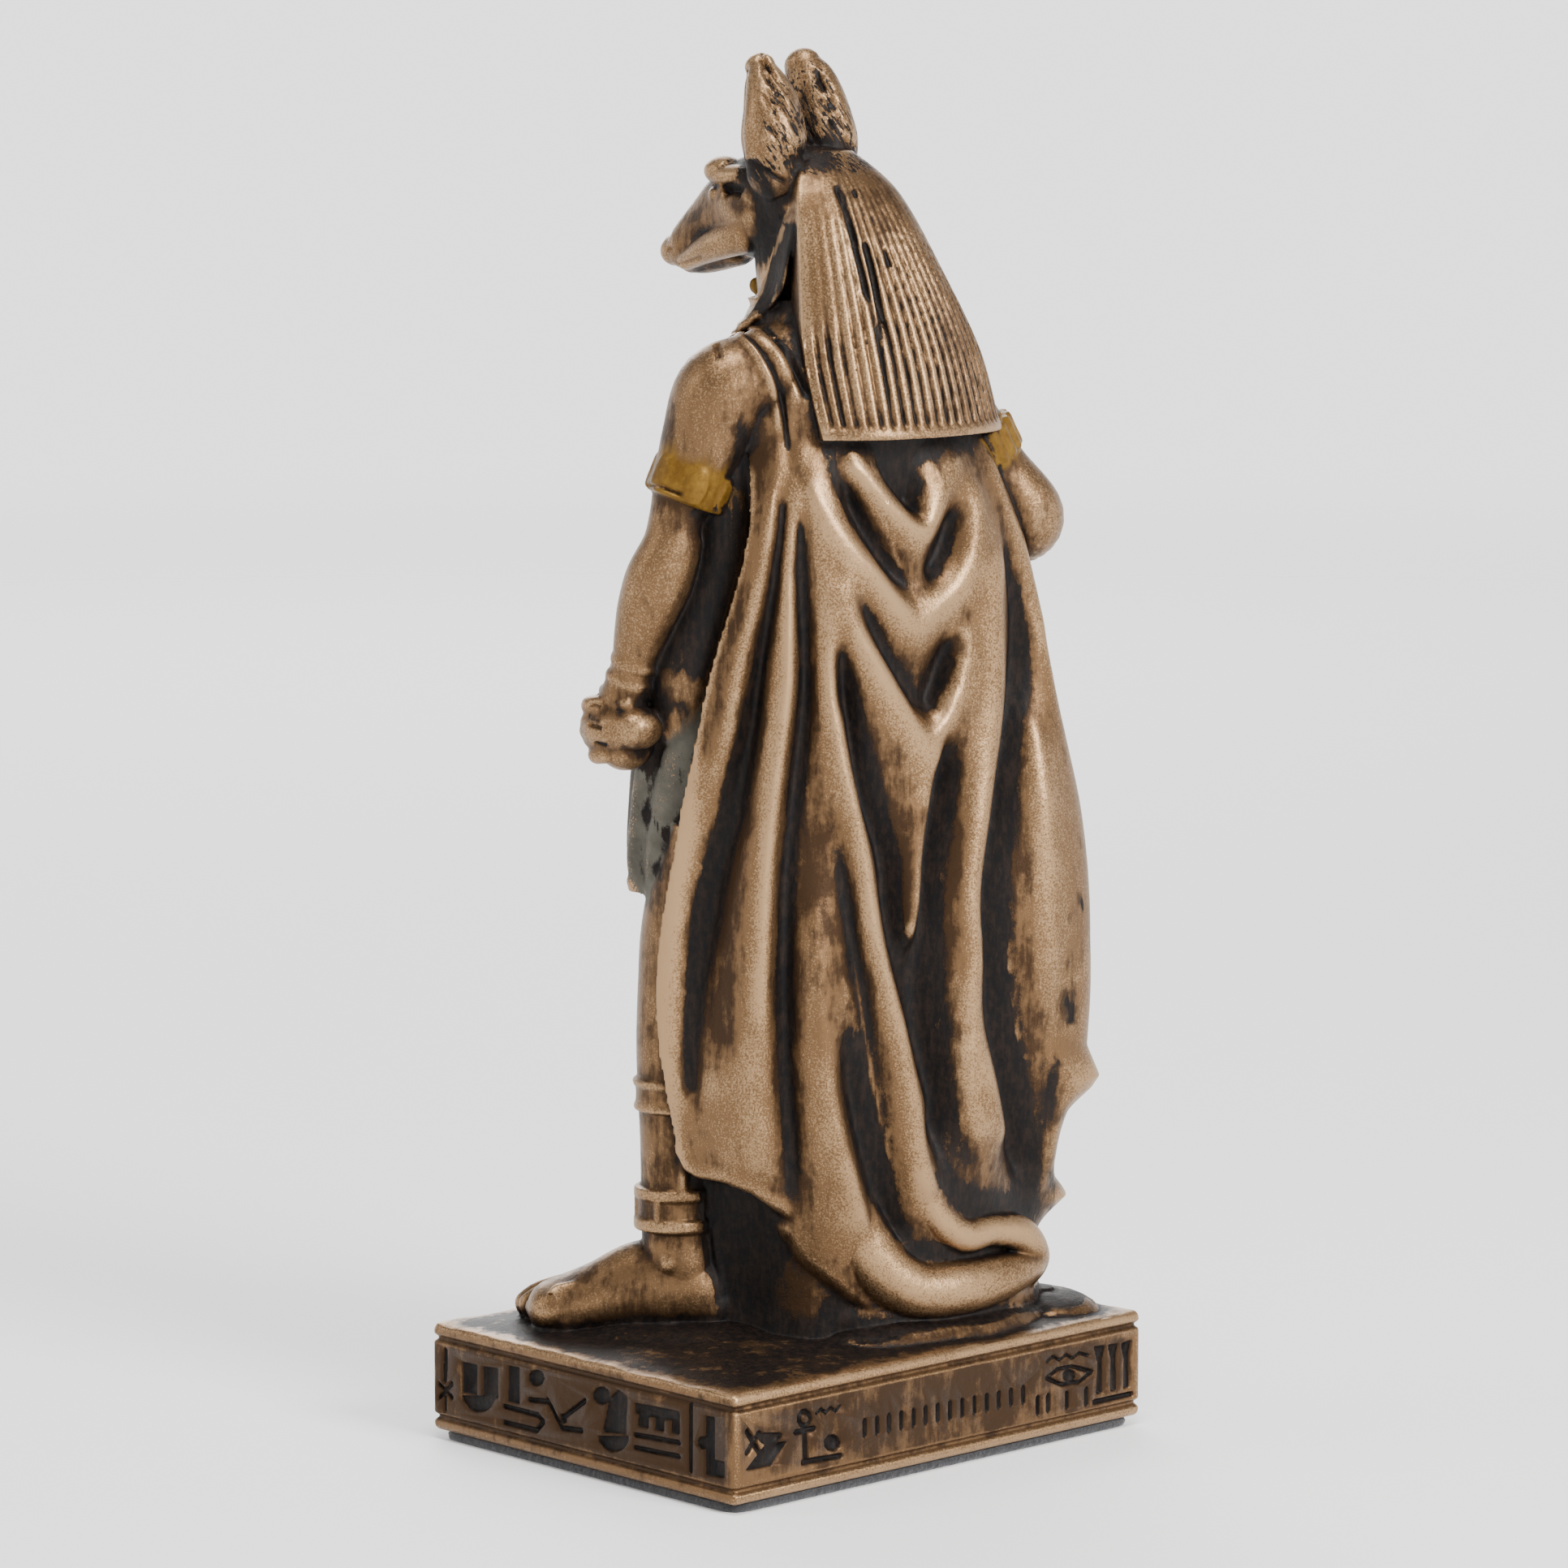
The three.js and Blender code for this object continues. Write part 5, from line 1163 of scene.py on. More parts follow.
# A row of plain short strokes between them: where each is across the photograph, where the row starts,
# how high it starts, how much it climbs, and half of a stroke's width
STROKE_PLACES = range(1066, 1262, 15)
STROKE_START, STROKE_ENDS = 1060, (1752, 1770)
STROKE_SLOPE = 0.21
STROKE_HALF = 0.13


def face_marks():
    """Every mark as (axis of the face, its side, kind, points on the face, half width)."""
    strokes = [([(x, end - STROKE_SLOPE * (x - STROKE_START)) for end in STROKE_ENDS], STROKE_HALF)
               for x in STROKE_PLACES]
    marks = []
    for axis, lines, areas in ((0, LEFT_LINES, LEFT_AREAS), (1, BACK_LINES + strokes, BACK_AREAS)):
        reach = PLINTH_HALF[axis]
        for kind, path, half in [("line", *line) for line in lines] + [("area", area, 0.0) for area in areas]:
            spots = [VIEW.on_plane(x, y, axis, reach) for x, y in path]
            points = np.array([[spot[1 - axis], spot[2]] for spot in spots])
            marks += [(axis, reach, kind, points, half), (axis, -reach, kind, points * [-1.0, 1.0], half)]
    return marks


def line_distance(points, path):
    """How far each point is from a line through the path's corners."""
    best = np.full(len(points), np.inf)
    for start, end in zip(path[:-1], path[1:]):
        way = end - start
        share = np.clip(((points - start) @ way) / max(way @ way, 1e-9), 0, 1)
        best = np.minimum(best, np.linalg.norm(points - start - share[:, None] * way, axis=1))
    return best


def inside(points, path):
    """Which points lie inside a closed outline, by counting the sides that they are left of."""
    crossings = np.zeros(len(points), bool)
    for start, end in zip(path, np.roll(path, -1, 0)):
        between = (start[1] > points[:, 1]) != (end[1] > points[:, 1])
        slope = (end[0] - start[0]) / (end[1] - start[1] + 1e-12)
        crossings ^= between & (points[:, 0] < start[0] + slope * (points[:, 1] - start[1]))
    return crossings


# How soft a mark's edge is, how far round a mark is looked, and how near the face a point counts as on it
MARK_EDGE = 0.07
MARK_MARGIN = 0.2
FACE_DEPTH = 0.5


def frieze_weight(points, marks):
    """How deep in a mark each point of the plinth lies, from 0 to 1."""
    weight = np.zeros(len(points))
    for axis, reach, kind, path, half in marks:
        low, high = path.min(0) - half - MARK_MARGIN, path.max(0) + half + MARK_MARGIN
        flat = points[:, [1 - axis, 2]]
        near = (np.abs(points[:, axis] - reach) < FACE_DEPTH) & (flat > low).all(1) & (flat < high).all(1)
        chosen = np.nonzero(near)[0]
        if kind == "line":
            distance = line_distance(flat[chosen], path) - half
        else:
            edge = line_distance(flat[chosen], np.concatenate([path, path[:1]]))
            distance = np.where(inside(flat[chosen], path), -edge, edge)
        weight[chosen] = np.maximum(weight[chosen], smoothstep(MARK_EDGE, -MARK_EDGE, distance))
    return weight


# Grooves that are both carved and filled with wash, as pixels
LAPPET_GROOVE = [(912, 411), (930, 424), (944, 442), (956, 466), (963, 492), (968, 525), (972, 560)]
WIG_GROOVE = [(1029, 226), (1041, 258), (1058, 320), (1070, 374)]
# Fine carving over the finished form, as brush strokes on the photograph: (path, width, rise in mm)
CARVED = [
    ([(918, 196), (945, 212), (969, 226)], 4, -0.25),
    ([(889, 236), (902, 233), (916, 238)], 6.5, -0.55),
    ([(866, 313), (867, 313)], 5.5, -0.6),
    ([(832, 326), (850, 322), (866, 316)], 2.2, -0.18),
    ([(822, 306), (828, 309)], 2.5, -0.2),
    ([(882, 424), (884, 432), (886, 442)], 3.5, -0.2),
    ([(897, 406), (914, 417), (929, 431), (939, 448), (949, 470), (954, 492), (958, 515), (960, 541)],
     6, 0.32),
    (LAPPET_GROOVE, 3.2, -0.3),
    ([(905, 398), (924, 406), (941, 419), (957, 437), (968, 458), (978, 482), (986, 505)], 7, 0.3),
    ([(940, 402), (957, 422), (972, 440), (984, 466), (995, 489)], 3.5, -0.4),
    ([(945, 438), (946, 439)], 4, 0.25),
    ([(931, 419), (932, 420)], 3.5, 0.2),
    ([(958, 462), (959, 463)], 3.5, 0.2),
    ([(795, 598), (818, 602), (842, 611)], 3, -0.35),
    (WIG_GROOVE, 3.6, -0.32),
    ([(1065, 296), (1074, 330), (1082, 374), (1087, 422)], 3.8, -0.3),
    ([(1051, 233), (1057, 243)], 2.8, -0.25),
    ([(1091, 306), (1097, 330)], 3, -0.25),
    ([(727, 868), (740, 872)], 2.5, -0.25),
    ([(724, 892), (742, 898)], 2.5, -0.25),
    ([(732, 916), (748, 920)], 2.5, -0.25),
    ([(878, 1504), (884, 1550), (893, 1600)], 4, 0.18),
]
# The left and the right edge of the back of each ear, as pixels (down, across), and how many cuts it has
EARS_SEEN = (
    ([(72, 936), (90, 942), (130, 944), (170, 938), (195, 928), (216, 955)],
     [(64, 940), (90, 958), (130, 988), (170, 1008), (200, 1003), (216, 988)], 60),
    ([(75, 996), (100, 1000), (130, 1006), (160, 1022), (185, 1040)],
     [(75, 1014), (100, 1026), (130, 1037), (160, 1048), (185, 1055)], 34),
)
FUR_SEED = 7
FUR_SLOPE = 0.62


def fur_strokes():
    """Short slanting cuts over the backs of the two ears."""
    strokes = []
    draw = np.random.default_rng(FUR_SEED)
    for left, right, count in EARS_SEEN:
        left, right = np.array(left, float), np.array(right, float)
        for _ in range(count):
            y = draw.uniform(left[0, 0], left[-1, 0])
            near, far = np.interp(y, left[:, 0], left[:, 1]), np.interp(y, right[:, 0], right[:, 1])
            x = near + (far - near) * draw.uniform(0.02, 0.98)
            length = draw.uniform(12, 22)
            slope = FUR_SLOPE + draw.uniform(-0.06, 0.06)
            cut = [(x + end * slope * length / 2, y + end * length / 2) for end in (-1, 0, 1)]
            strokes.append((cut, draw.uniform(2.2, 3.2), -draw.uniform(0.05, 0.12)))
    return strokes


# Paint: dark wash, and painted shade in gaps and under the hem, in brush strokes, (path, width, amount)
WASH_AND_PAINTED_SHADE = [
    ([(1078, 560), (1106, 582), (1132, 615)], 19, 1),
    ([(1100, 558), (1135, 562), (1172, 558)], 12, 1),
    ([(1020, 556), (1030, 600), (1056, 650)], 8, 0.9),
    # Down the side of the head and into the gap before the lappet: dark wash with painted shade in the gap
    ([(908, 204), (930, 214), (946, 240), (948, 275), (940, 303), (930, 320)], 17, 1.1),
    ([(915, 222), (934, 250), (930, 285)], 8, 0.7),
    ([(925, 296), (912, 304), (898, 302)], 5, 0.5),
    # On the lappet and the gaps beside it: dark wash with painted shade in the gaps
    ([(976, 275), (970, 300), (962, 340), (958, 380)], 9, 1.6),
    ([(882, 424), (884, 432), (886, 442)], 3, 0.3),
    ([(1275, 1580), (1300, 1586), (1340, 1598)], 12, 1),
    # On the lappet and the gaps beside it: dark wash with painted shade in the gaps
    ([(964, 300), (956, 335), (947, 365), (932, 386)], 11, 1.6),
    ([(802, 846), (798, 880), (792, 915), (786, 940)], 11, 0.85),
    ([(724, 884), (742, 889)], 3, 0.8),
    ([(736, 912), (752, 919)], 3, 0.8),
    ([(748, 856), (764, 872), (768, 900)], 3, 0.6),
    ([(835, 600), (842, 596), (850, 592)], 3, 0.7),
    (LAPPET_GROOVE, 4, 0.7),
    ([(940, 402), (957, 422), (972, 440), (984, 466), (996, 492)], 5.5, 0.9),
    ([(890, 234), (902, 232), (915, 236)], 9, 0.9),
    ([(896, 256), (912, 252), (927, 250)], 8, 0.55),
    ([(868, 250), (878, 240)], 6, 0.45),
    ([(882, 226), (886, 242), (896, 255)], 4.5, 0.6),
    ([(852, 272), (862, 258), (872, 249)], 5, 0.5),
    ([(940, 300), (918, 306), (896, 309)], 5, 0.5),
    ([(860, 290), (875, 282)], 6, 0.4),
    ([(866, 313), (867, 313)], 6, 1),
    ([(845, 336), (880, 330), (925, 322)], 4, 0.7),
    ([(1000, 205), (1018, 190), (1032, 178)], 12, 0.8),
    # On the lappet and the gaps beside it: dark wash with painted shade in the gaps
    ([(974, 270), (966, 320), (952, 365), (940, 388)], 14, 0.9),
    (WIG_GROOVE, 4, 0.7),
    ([(1065, 296), (1074, 330), (1082, 374), (1087, 422), (1091, 480), (1092, 529)], 4.5, 0.6),
    ([(913, 520), (912, 560), (905, 600)], 12, 0.8),
    # Between the arm and the cape: painted shade where the torso's side lies in shadow
    ([(880, 620), (885, 680), (868, 760), (845, 840)], 30, 1),
    # On the kilt's top under the arm: painted shade
    ([(800, 862), (825, 872), (850, 868)], 14, 0.8),
    ([(1040, 1260), (1056, 1350), (1083, 1450), (1110, 1530)], 13, 0.9),
    ([(1150, 1440), (1190, 1476), (1232, 1490), (1268, 1484)], 20, 1),
    ([(1302, 1306), (1320, 1322), (1338, 1324)], 9, 0.9),
    ([(1296, 1395), (1294, 1445), (1303, 1474), (1290, 1490)], 10, 0.8),
    ([(1010, 1612), (1060, 1632), (1110, 1640)], 12, 0.7),
    ([(1013, 552), (1110, 556), (1205, 551)], 9, 0.8),
    ([(1136, 640), (1150, 668), (1165, 690)], 13, 0.8),
    ([(1144, 872), (1160, 840), (1172, 812)], 11, 0.7),
    ([(965, 620), (948, 745), (930, 850)], 7, 0.6),
    ([(928, 850), (908, 935), (890, 1017), (872, 1080), (862, 1137)], 15, 0.75),
    ([(866, 1110), (853, 1170), (848, 1240), (847, 1310), (852, 1350)], 8, 0.7),
    # On the lappet and the gaps beside it: dark wash with painted shade in the gaps
    ([(966, 288), (958, 318), (948, 345), (930, 372)], 9, 1),
    ([(984, 640), (989, 844), (974, 991)], 6, 0.5),
    ([(1034, 830), (1050, 900), (1078, 1000), (1100, 1080), (1108, 1160), (1135, 1270), (1160, 1400)],
     17, 0.7),
    ([(1172, 930), (1155, 1020), (1147, 1100), (1155, 1200), (1172, 1330), (1195, 1450)], 17, 0.75),
    ([(1245, 700), (1258, 800), (1244, 900), (1238, 983), (1226, 1087), (1232, 1190), (1245, 1293),
      (1265, 1397), (1272, 1460)], 16, 0.75),
    ([(1300, 1300), (1295, 1360), (1280, 1430), (1270, 1500)], 16, 0.7),
    # Under the left hem: painted shade in the hollow below the cloth
    ([(900, 1500), (920, 1540), (960, 1580)], 32, 0.9),
    ([(1113, 1541), (1180, 1538), (1247, 1534)], 9, 0.8),
    # On the kilt's top under the arm: painted shade
    ([(798, 846), (815, 860), (830, 885)], 14, 0.8),
    ([(788, 990), (806, 1014), (828, 1036)], 6, 0.8),
    ([(810, 941), (840, 950)], 4, 0.6),
    ([(800, 1060), (822, 1085)], 8, 0.6),
    ([(1316, 1222), (1322, 1245), (1318, 1268)], 8, 1.3),
    ([(1333, 1104), (1334, 1116)], 3.5, 1.3),
    ([(925, 1721), (926, 1723)], 4, 1.3),
]
# Tone: rubbed bright and painted highlights above 0, browner and painted shade below it, in brush strokes,
# (path, width, amount)
RUBBED_AND_PAINTED_LIGHT = [
    ([(973, 245), (970, 268), (958, 296), (947, 322), (940, 345), (933, 366), (918, 388)], 4.5, 1.7),
    ([(926, 262), (906, 272), (886, 284), (868, 298)], 11, 0.45),
    ([(882, 213), (895, 207), (910, 209)], 6, 0.5),
    ([(921, 228), (928, 240), (925, 252)], 6, 0.8),
    ([(893, 222), (886, 240), (892, 258), (906, 274)], 6, 0.7),
    # Thin bright lines along fold crests: painted highlights
    ([(1052, 1180), (1062, 1250), (1078, 1340), (1100, 1440)], 2.2, 1.1),
    ([(1040, 1200), (1046, 1250), (1060, 1330), (1082, 1420)], 1.8, 0.9),
    ([(1160, 1060), (1158, 1150), (1166, 1260)], 2.2, 1.1),
    ([(1150, 1130), (1150, 1200), (1160, 1330)], 1.8, 1),
    ([(1240, 860), (1232, 940), (1226, 1020)], 2.2, 1),
    ([(1240, 1150), (1246, 1230), (1262, 1320)], 2, 1),
    ([(885, 1010), (872, 1080), (862, 1160)], 2.2, 1),
    ([(945, 770), (934, 850), (920, 930)], 2, 0.9),
    ([(1090, 640), (1102, 680), (1112, 705)], 2, 0.9),
    ([(1112, 560), (1122, 590), (1130, 620)], 1.8, 0.9),
    ([(1090, 1030), (1098, 1090), (1108, 1160)], 2, 0.9),
    # Browner down the left band and beside the folds: painted shade on slopes that face away from the light
    ([(932, 520), (940, 570), (934, 640), (916, 720), (896, 800), (878, 880), (862, 950)], 17, -1.3),
    ([(915, 1000), (905, 1100), (895, 1200), (893, 1300)], 26, -0.7),
    ([(1000, 1010), (1005, 1100), (1010, 1200), (1020, 1300)], 24, -0.7),
    ([(1130, 990), (1125, 1060), (1128, 1140)], 20, -1),
    ([(1015, 1250), (1025, 1350), (1040, 1440)], 16, -0.4),
    ([(1180, 1000), (1176, 1100), (1178, 1200)], 14, -0.9),
    # Bright strokes over the swags, the right panel, the train, the long left fold and the wig: painted
    # highlights over rubbed paint
    ([(1190, 1270), (1205, 1340), (1225, 1410)], 22, 0.35),
    ([(1260, 560), (1280, 640), (1290, 660)], 16, 0.2),
    ([(990, 589), (1023, 646), (1073, 705), (1116, 765), (1150, 760), (1190, 700)], 22, 0.85),
    ([(1045, 770), (1089, 838), (1126, 901), (1152, 938), (1152, 901), (1174, 830)], 17, 0.75),
    ([(1039, 563), (1065, 590), (1090, 620), (1136, 659), (1158, 610)], 13, 0.65),
    ([(1232, 679), (1219, 729), (1222, 812), (1220, 880), (1207, 1001)], 9, 0.4),
    ([(1284, 900), (1288, 1010), (1294, 1120), (1300, 1230), (1312, 1290)], 26, 0.4),
    ([(1129, 1430), (1150, 1492), (1186, 1521), (1222, 1516), (1258, 1520), (1276, 1548)], 15, 1),
    ([(1036, 1470), (1070, 1545), (1122, 1582), (1180, 1584), (1235, 1572)], 27, 0.8),
    ([(945, 1010), (939, 1167), (935, 1260)], 8, 0.5),
    ([(973, 700), (972, 829), (966, 888)], 7, 0.5),
    ([(1020, 250), (1050, 400), (1070, 520)], 30, 0.6),
    ([(1100, 280), (1130, 400), (1150, 510)], 32, 0.6),
    ([(992, 260), (996, 380), (1002, 520)], 11, 0.3),
    ([(1160, 380), (1195, 480), (1205, 530)], 14, -0.2),
    ([(880, 240), (900, 255), (915, 275)], 12, -0.45),
    ([(860, 260), (845, 285)], 9, -0.3),
    ([(690, 1585), (740, 1575), (800, 1560), (850, 1560)], 16, -0.25),
    ([(1012, 538), (1100, 541), (1200, 533)], 7, -0.7),
    ([(845, 1440), (890, 1452), (935, 1470), (968, 1492)], 6, -0.4),
]


# The casting as one mesh


def main_body(mesh):
    """Which points belong to the largest joined piece of the mesh."""
    count = len(mesh.vertices)
    first, second = edge_ends(mesh)
    label = np.arange(count)
    while True:
        lowest = np.minimum(label[first], label[second])
        before = label.copy()
        np.minimum.at(label, first, lowest)
        np.minimum.at(label, second, lowest)
        label = label[label]
        if (label == before).all():
            break
    return label == np.bincount(label, minlength=count).argmax()


def drop_loose(thing):
    """Removes what isn't joined to the largest piece."""
    keep = main_body(thing.data)
    if keep.all():
        return
    shape = bmesh.new()
    shape.from_mesh(thing.data)
    shape.verts.ensure_lookup_table()
    bmesh.ops.delete(shape, geom=[shape.verts[i] for i in np.nonzero(~keep)[0]], context="VERTS")
    shape.to_mesh(thing.data)
    shape.free()


def neighbour_means(mesh, points, rounds, share):
    """Moves each point towards the mean of its neighbours, a few times."""
    a, b = edge_ends(mesh)
    count = len(points)
    number = np.bincount(a, minlength=count) + np.bincount(b, minlength=count)
    for _ in range(rounds):
        mean = np.stack([np.bincount(a, points[b, k], count) + np.bincount(b, points[a, k], count)
                         for k in range(3)], -1) / np.maximum(number, 1)[:, None]
        points = points + (mean - points) * share
    return points


class Fullness:
    """How much of the space round a point is solid, from rays through the finished mesh."""

    margin = 3
    step_past_hit = 0.01

    def __init__(self, thing, spacing, spread):
        low = np.array([-PLINTH_HALF[0], -PLINTH_HALF[1], PLINTH_BOTTOM]) - self.margin
        high = np.array([PLINTH_HALF[0], PLINTH_HALF[1], FIGURE_TOP]) + self.margin
        self.low, self.spacing = low, spacing
        size = np.ceil((high - low) / spacing).astype(int)
        solid = np.zeros(size, np.float32)
        up = Vector((0, 0, 1))
        for i in range(size[0]):
            for j in range(size[1]):
                start = Vector((low[0] + (i + 0.5) * spacing, low[1] + (j + 0.5) * spacing, low[2]))
                crossings = []
                while True:
                    hit, place, _, _ = thing.ray_cast(start, up)
                    if not hit:
                        break
                    crossings.append((place.z - low[2]) / spacing)
                    start.z = place.z + self.step_past_hit
                for enter, leave in zip(crossings[::2], crossings[1::2]):
                    solid[i, j, int(round(enter)):int(round(leave))] = 1
        self.fields = [self.blurred(solid, reach / spacing) for reach in spread]

    @staticmethod
    def blurred(solid, reach):
        """The share that is solid within about that many cells."""
        half = max(int(round(reach)), 1)
        for _ in range(2):
            for axis in range(3):
                solid = box_blur(solid, half, axis)
        return solid

    def at(self, points, field):
        """The field's value at each point, between the middles of its cells."""
        place = (points - self.low) / self.spacing - 0.5
        corner = np.floor(place).astype(int)
        part = place - corner
        grid = self.fields[field]
        total = np.zeros(len(points))
        for offset in np.ndindex(2, 2, 2):
            index = np.clip(corner + offset, 0, np.array(grid.shape) - 1)
            share = np.prod(np.where(np.array(offset) == 1, part, 1 - part), axis=1)
            total += grid[index[:, 0], index[:, 1], index[:, 2]] * share
        return total


# How many points are set against one another in one go, to spare memory
POINTS_AT_ONCE = 4000


def near_shapes(points, shapes, reach):
    """1 close to the points of the given shapes, 0 away from them."""
    close = np.zeros(len(points))
    for own, _ in shapes:
        own = own + FIGURE_LIFT
        low, high = own.min(0) - reach, own.max(0) + reach
        chosen = np.nonzero(((points > low) & (points < high)).all(1))[0]
        for start in range(0, len(chosen), POINTS_AT_ONCE):
            part = chosen[start:start + POINTS_AT_ONCE]
            best = np.full(len(part), np.inf)
            for first in range(0, len(own), POINTS_AT_ONCE // 2):
                own_part = own[None, first:first + POINTS_AT_ONCE // 2]
                gap = ((points[part][:, None] - own_part) ** 2).sum(2)
                best = np.minimum(best, gap.min(1))
            close[part] = np.maximum(close[part], smoothstep(reach, reach * 0.6, np.sqrt(best)))
    return close


# Unevenness of the ground: (height in mm, waves in a millimetre); between which heights, and how level, it is
GROUND_WAVES = ((0.16, 0.28), (0.05, 0.9))
GROUND_LOW, GROUND_HIGH = PLINTH_TOP - 0.75, PLINTH_TOP + 0.9
GROUND_LEVEL = 0.8


def ground_swell(points, ways):
    """Uneven ground on top of the plinth."""
    height = points[:, 2]
    top = (height > GROUND_LOW) & (height < GROUND_HIGH) & (ways[:, 2] > GROUND_LEVEL)
    chosen = np.nonzero(top)[0]
    rise = np.zeros(len(points))
    rise[chosen] = [sum(size * noise.noise(Vector(p) * pitch) for size, pitch in GROUND_WAVES)
                    for p in points[chosen]]
    return rise


# Size of the cells in which all shapes are joined, and how many triangles are kept
VOXEL = 0.11
TRIANGLES = 190000
SMOOTHING_ROUNDS, SMOOTHING_SHARE = 2, 0.5


def figure_shapes(cloth, hair):
    """All shapes of the figure above the plinth."""
    shapes = [cape(cloth), *train(), wig(hair)]
    for part in (crown, head, lappets, trunk, collar, throat_bead, straps, left_arm, right_arm, wrist_bands,
                 armlets, belt, kilt, apron, legs, feet):
        shapes += part()
    return placed(shapes, 0, FIGURE_LIFT)


def build_casting(settings):
    """Joins all shapes into one closed mesh, carves it, thins it out and paints it."""
    cloth, fold = cape_surface()
    hair, groove = wig_surface(settings)
    thing = mesh_of("anubis_figure_on_plinth", figure_shapes(cloth, hair) + plinth(settings) + mounds())
    size = VOXEL
    with_modifier(thing, "REMESH", mode="VOXEL", voxel_size=size, adaptivity=0.0)
    mesh = thing.data
    points = neighbour_means(mesh, of_points(mesh, "co"), SMOOTHING_ROUNDS, SMOOTHING_SHARE)
    put_coordinates(mesh, points)
    VIEW.remember(points)

    ways = of_points(mesh, "normal")
    pixels, _ = VIEW.pixels(points)
    shown = np.nonzero(VIEW.sees(points, ways))[0]
    rise = ground_swell(points, ways)
    for path, width, height in CARVED + fur_strokes():
        rise[shown] += height * stroke_weight(pixels[shown], path, width)
    marks = face_marks()
    points = points + ways * rise[:, None]
    depth = frieze_weight(points, marks) * settings.frieze_depth
    for axis in (0, 1):
        on_face = np.abs(np.abs(points[:, axis]) - PLINTH_HALF[axis]) < FACE_DEPTH
        points[on_face, axis] -= np.sign(points[on_face, axis]) * depth[on_face]
    put_coordinates(mesh, points)

    faces = len(mesh.polygons) * 2
    with_modifier(thing, "DECIMATE", ratio=min(TRIANGLES / faces, 1.0))
    drop_loose(thing)
    paint_casting(thing, marks, {"fold": (cloth, fold), "groove": (hair, groove)})
    return thing


def lookup(points, surface, values, reach):
    """The value of the nearest point of a surface, for the points within reach of it, and 0 elsewhere."""
    places = surface.reshape(-1, 3)
    known = values.reshape(-1)
    tree = KDTree(len(places))
    for i, place in enumerate(places):
        tree.insert(place, i)
    tree.balance()
    found = np.zeros(len(points))
    low, high = places.min(0) - reach, places.max(0) + reach
    for i in np.nonzero(((points > low) & (points < high)).all(1))[0]:
        _, nearest, gap = tree.find(points[i])
        if gap < reach:
            found[i] = known[nearest]
    return found


# Cells in which the fullness round a point is worked out, and how far round a point the two kinds reach
CELL = 0.22
HOLLOW_REACH = (0.45, 1.3)
# Heights, or shares of facing up, between which a kind of paint fades in
FUR_FADE = (PLINTH_TOP + 72.5, PLINTH_TOP + 74)
BLOCK_FADE = (PLINTH_TOP - 0.3, PLINTH_TOP - 0.9)
GROUND_START, GROUND_END = (PLINTH_TOP - 0.9, PLINTH_TOP - 0.5), (PLINTH_TOP + 1.1, PLINTH_TOP + 0.6)
LEVEL_FADE = (0.75, 0.92)
# The bare front edge of the near ear, in pixels
BARE_EDGE, BARE_WIDTH = [(930, 68), (926, 100), (926, 150), (922, 188)], 13
# How close to a shape, in millimetres, a point counts as belonging to it
GUIDE_REACH = 0.6
PAINT_REACH = 0.3
ROLL_REACH = 0.25
# How much darker the plinth's left side is painted than the rest of it, as painted shade on that side
LEFT_SIDE_PAINTED_SHADE = 2.6


def paint_casting(thing, marks, guides):
    """Writes where the paint goes: hollows, wash and painted shade, rubbed paint and painted highlights,
    gold, cloth colour and fur.
    """
    mesh = thing.data
    bpy.context.view_layer.update()
    points, ways = of_points(mesh, "co"), of_points(mesh, "normal")
    full = Fullness(thing, CELL, HOLLOW_REACH)
    pixels, _ = VIEW.pixels(points)
    shown = np.nonzero(VIEW.sees(points, ways))[0]
    pixels = pixels[shown]

    wash_and_shade = frieze_weight(points, marks)
    for path, width, amount in WASH_AND_PAINTED_SHADE:
        wash_and_shade[shown] = np.maximum(wash_and_shade[shown], amount * stroke_weight(pixels, path, width, (0.05, 0.05)))
    rub_and_painted_light = np.zeros(len(points))
    for path, width, amount in RUBBED_AND_PAINTED_LIGHT:
        rub_and_painted_light[shown] += amount * stroke_weight(pixels, path, width, (0.1, 0.1))
    height = points[:, 2]
    fur = smoothstep(*FUR_FADE, height)
    fur[shown] *= 1 - stroke_weight(pixels, BARE_EDGE, BARE_WIDTH, (0, 0))
    ground = smoothstep(*GROUND_START, height) * smoothstep(*GROUND_END, height)
    ground *= smoothstep(*LEVEL_FADE, ways[:, 2])
    # The plinth is browner; its left-facing side more so, as painted shade
    block = smoothstep(*BLOCK_FADE, height) * (1 + LEFT_SIDE_PAINTED_SHADE * np.maximum(ways[:, 0], 0))

    paint = {"hollow_fine": full.at(points, 0), "hollow_wide": full.at(points, 1), "wash_and_shade": wash_and_shade, "rub_and_painted_light": rub_and_painted_light}
    for name, (surface, values) in guides.items():
        paint[name] = lookup(points, surface + FIGURE_LIFT, values, GUIDE_REACH)
    paint["gold"] = near_shapes(points, armlets() + throat_bead(), PAINT_REACH)
    paint["cloth"] = near_shapes(points, kilt(), PAINT_REACH)
    paint["roll"] = near_shapes(points, train(), ROLL_REACH)
    paint |= {"fur": fur, "ground": ground, "block": block}
    for name, values in paint.items():
        put_attribute(mesh, name, values)


def settle(thing, name):
    """Turns a finished mesh from millimetres into metres and names it."""
    thing.data.transform(Matrix.Scale(MM, 4))
    thing.data.update()
    thing.name = name
    thing.data.name = name
    thing.data.shade_smooth()
    return thing


# Materials


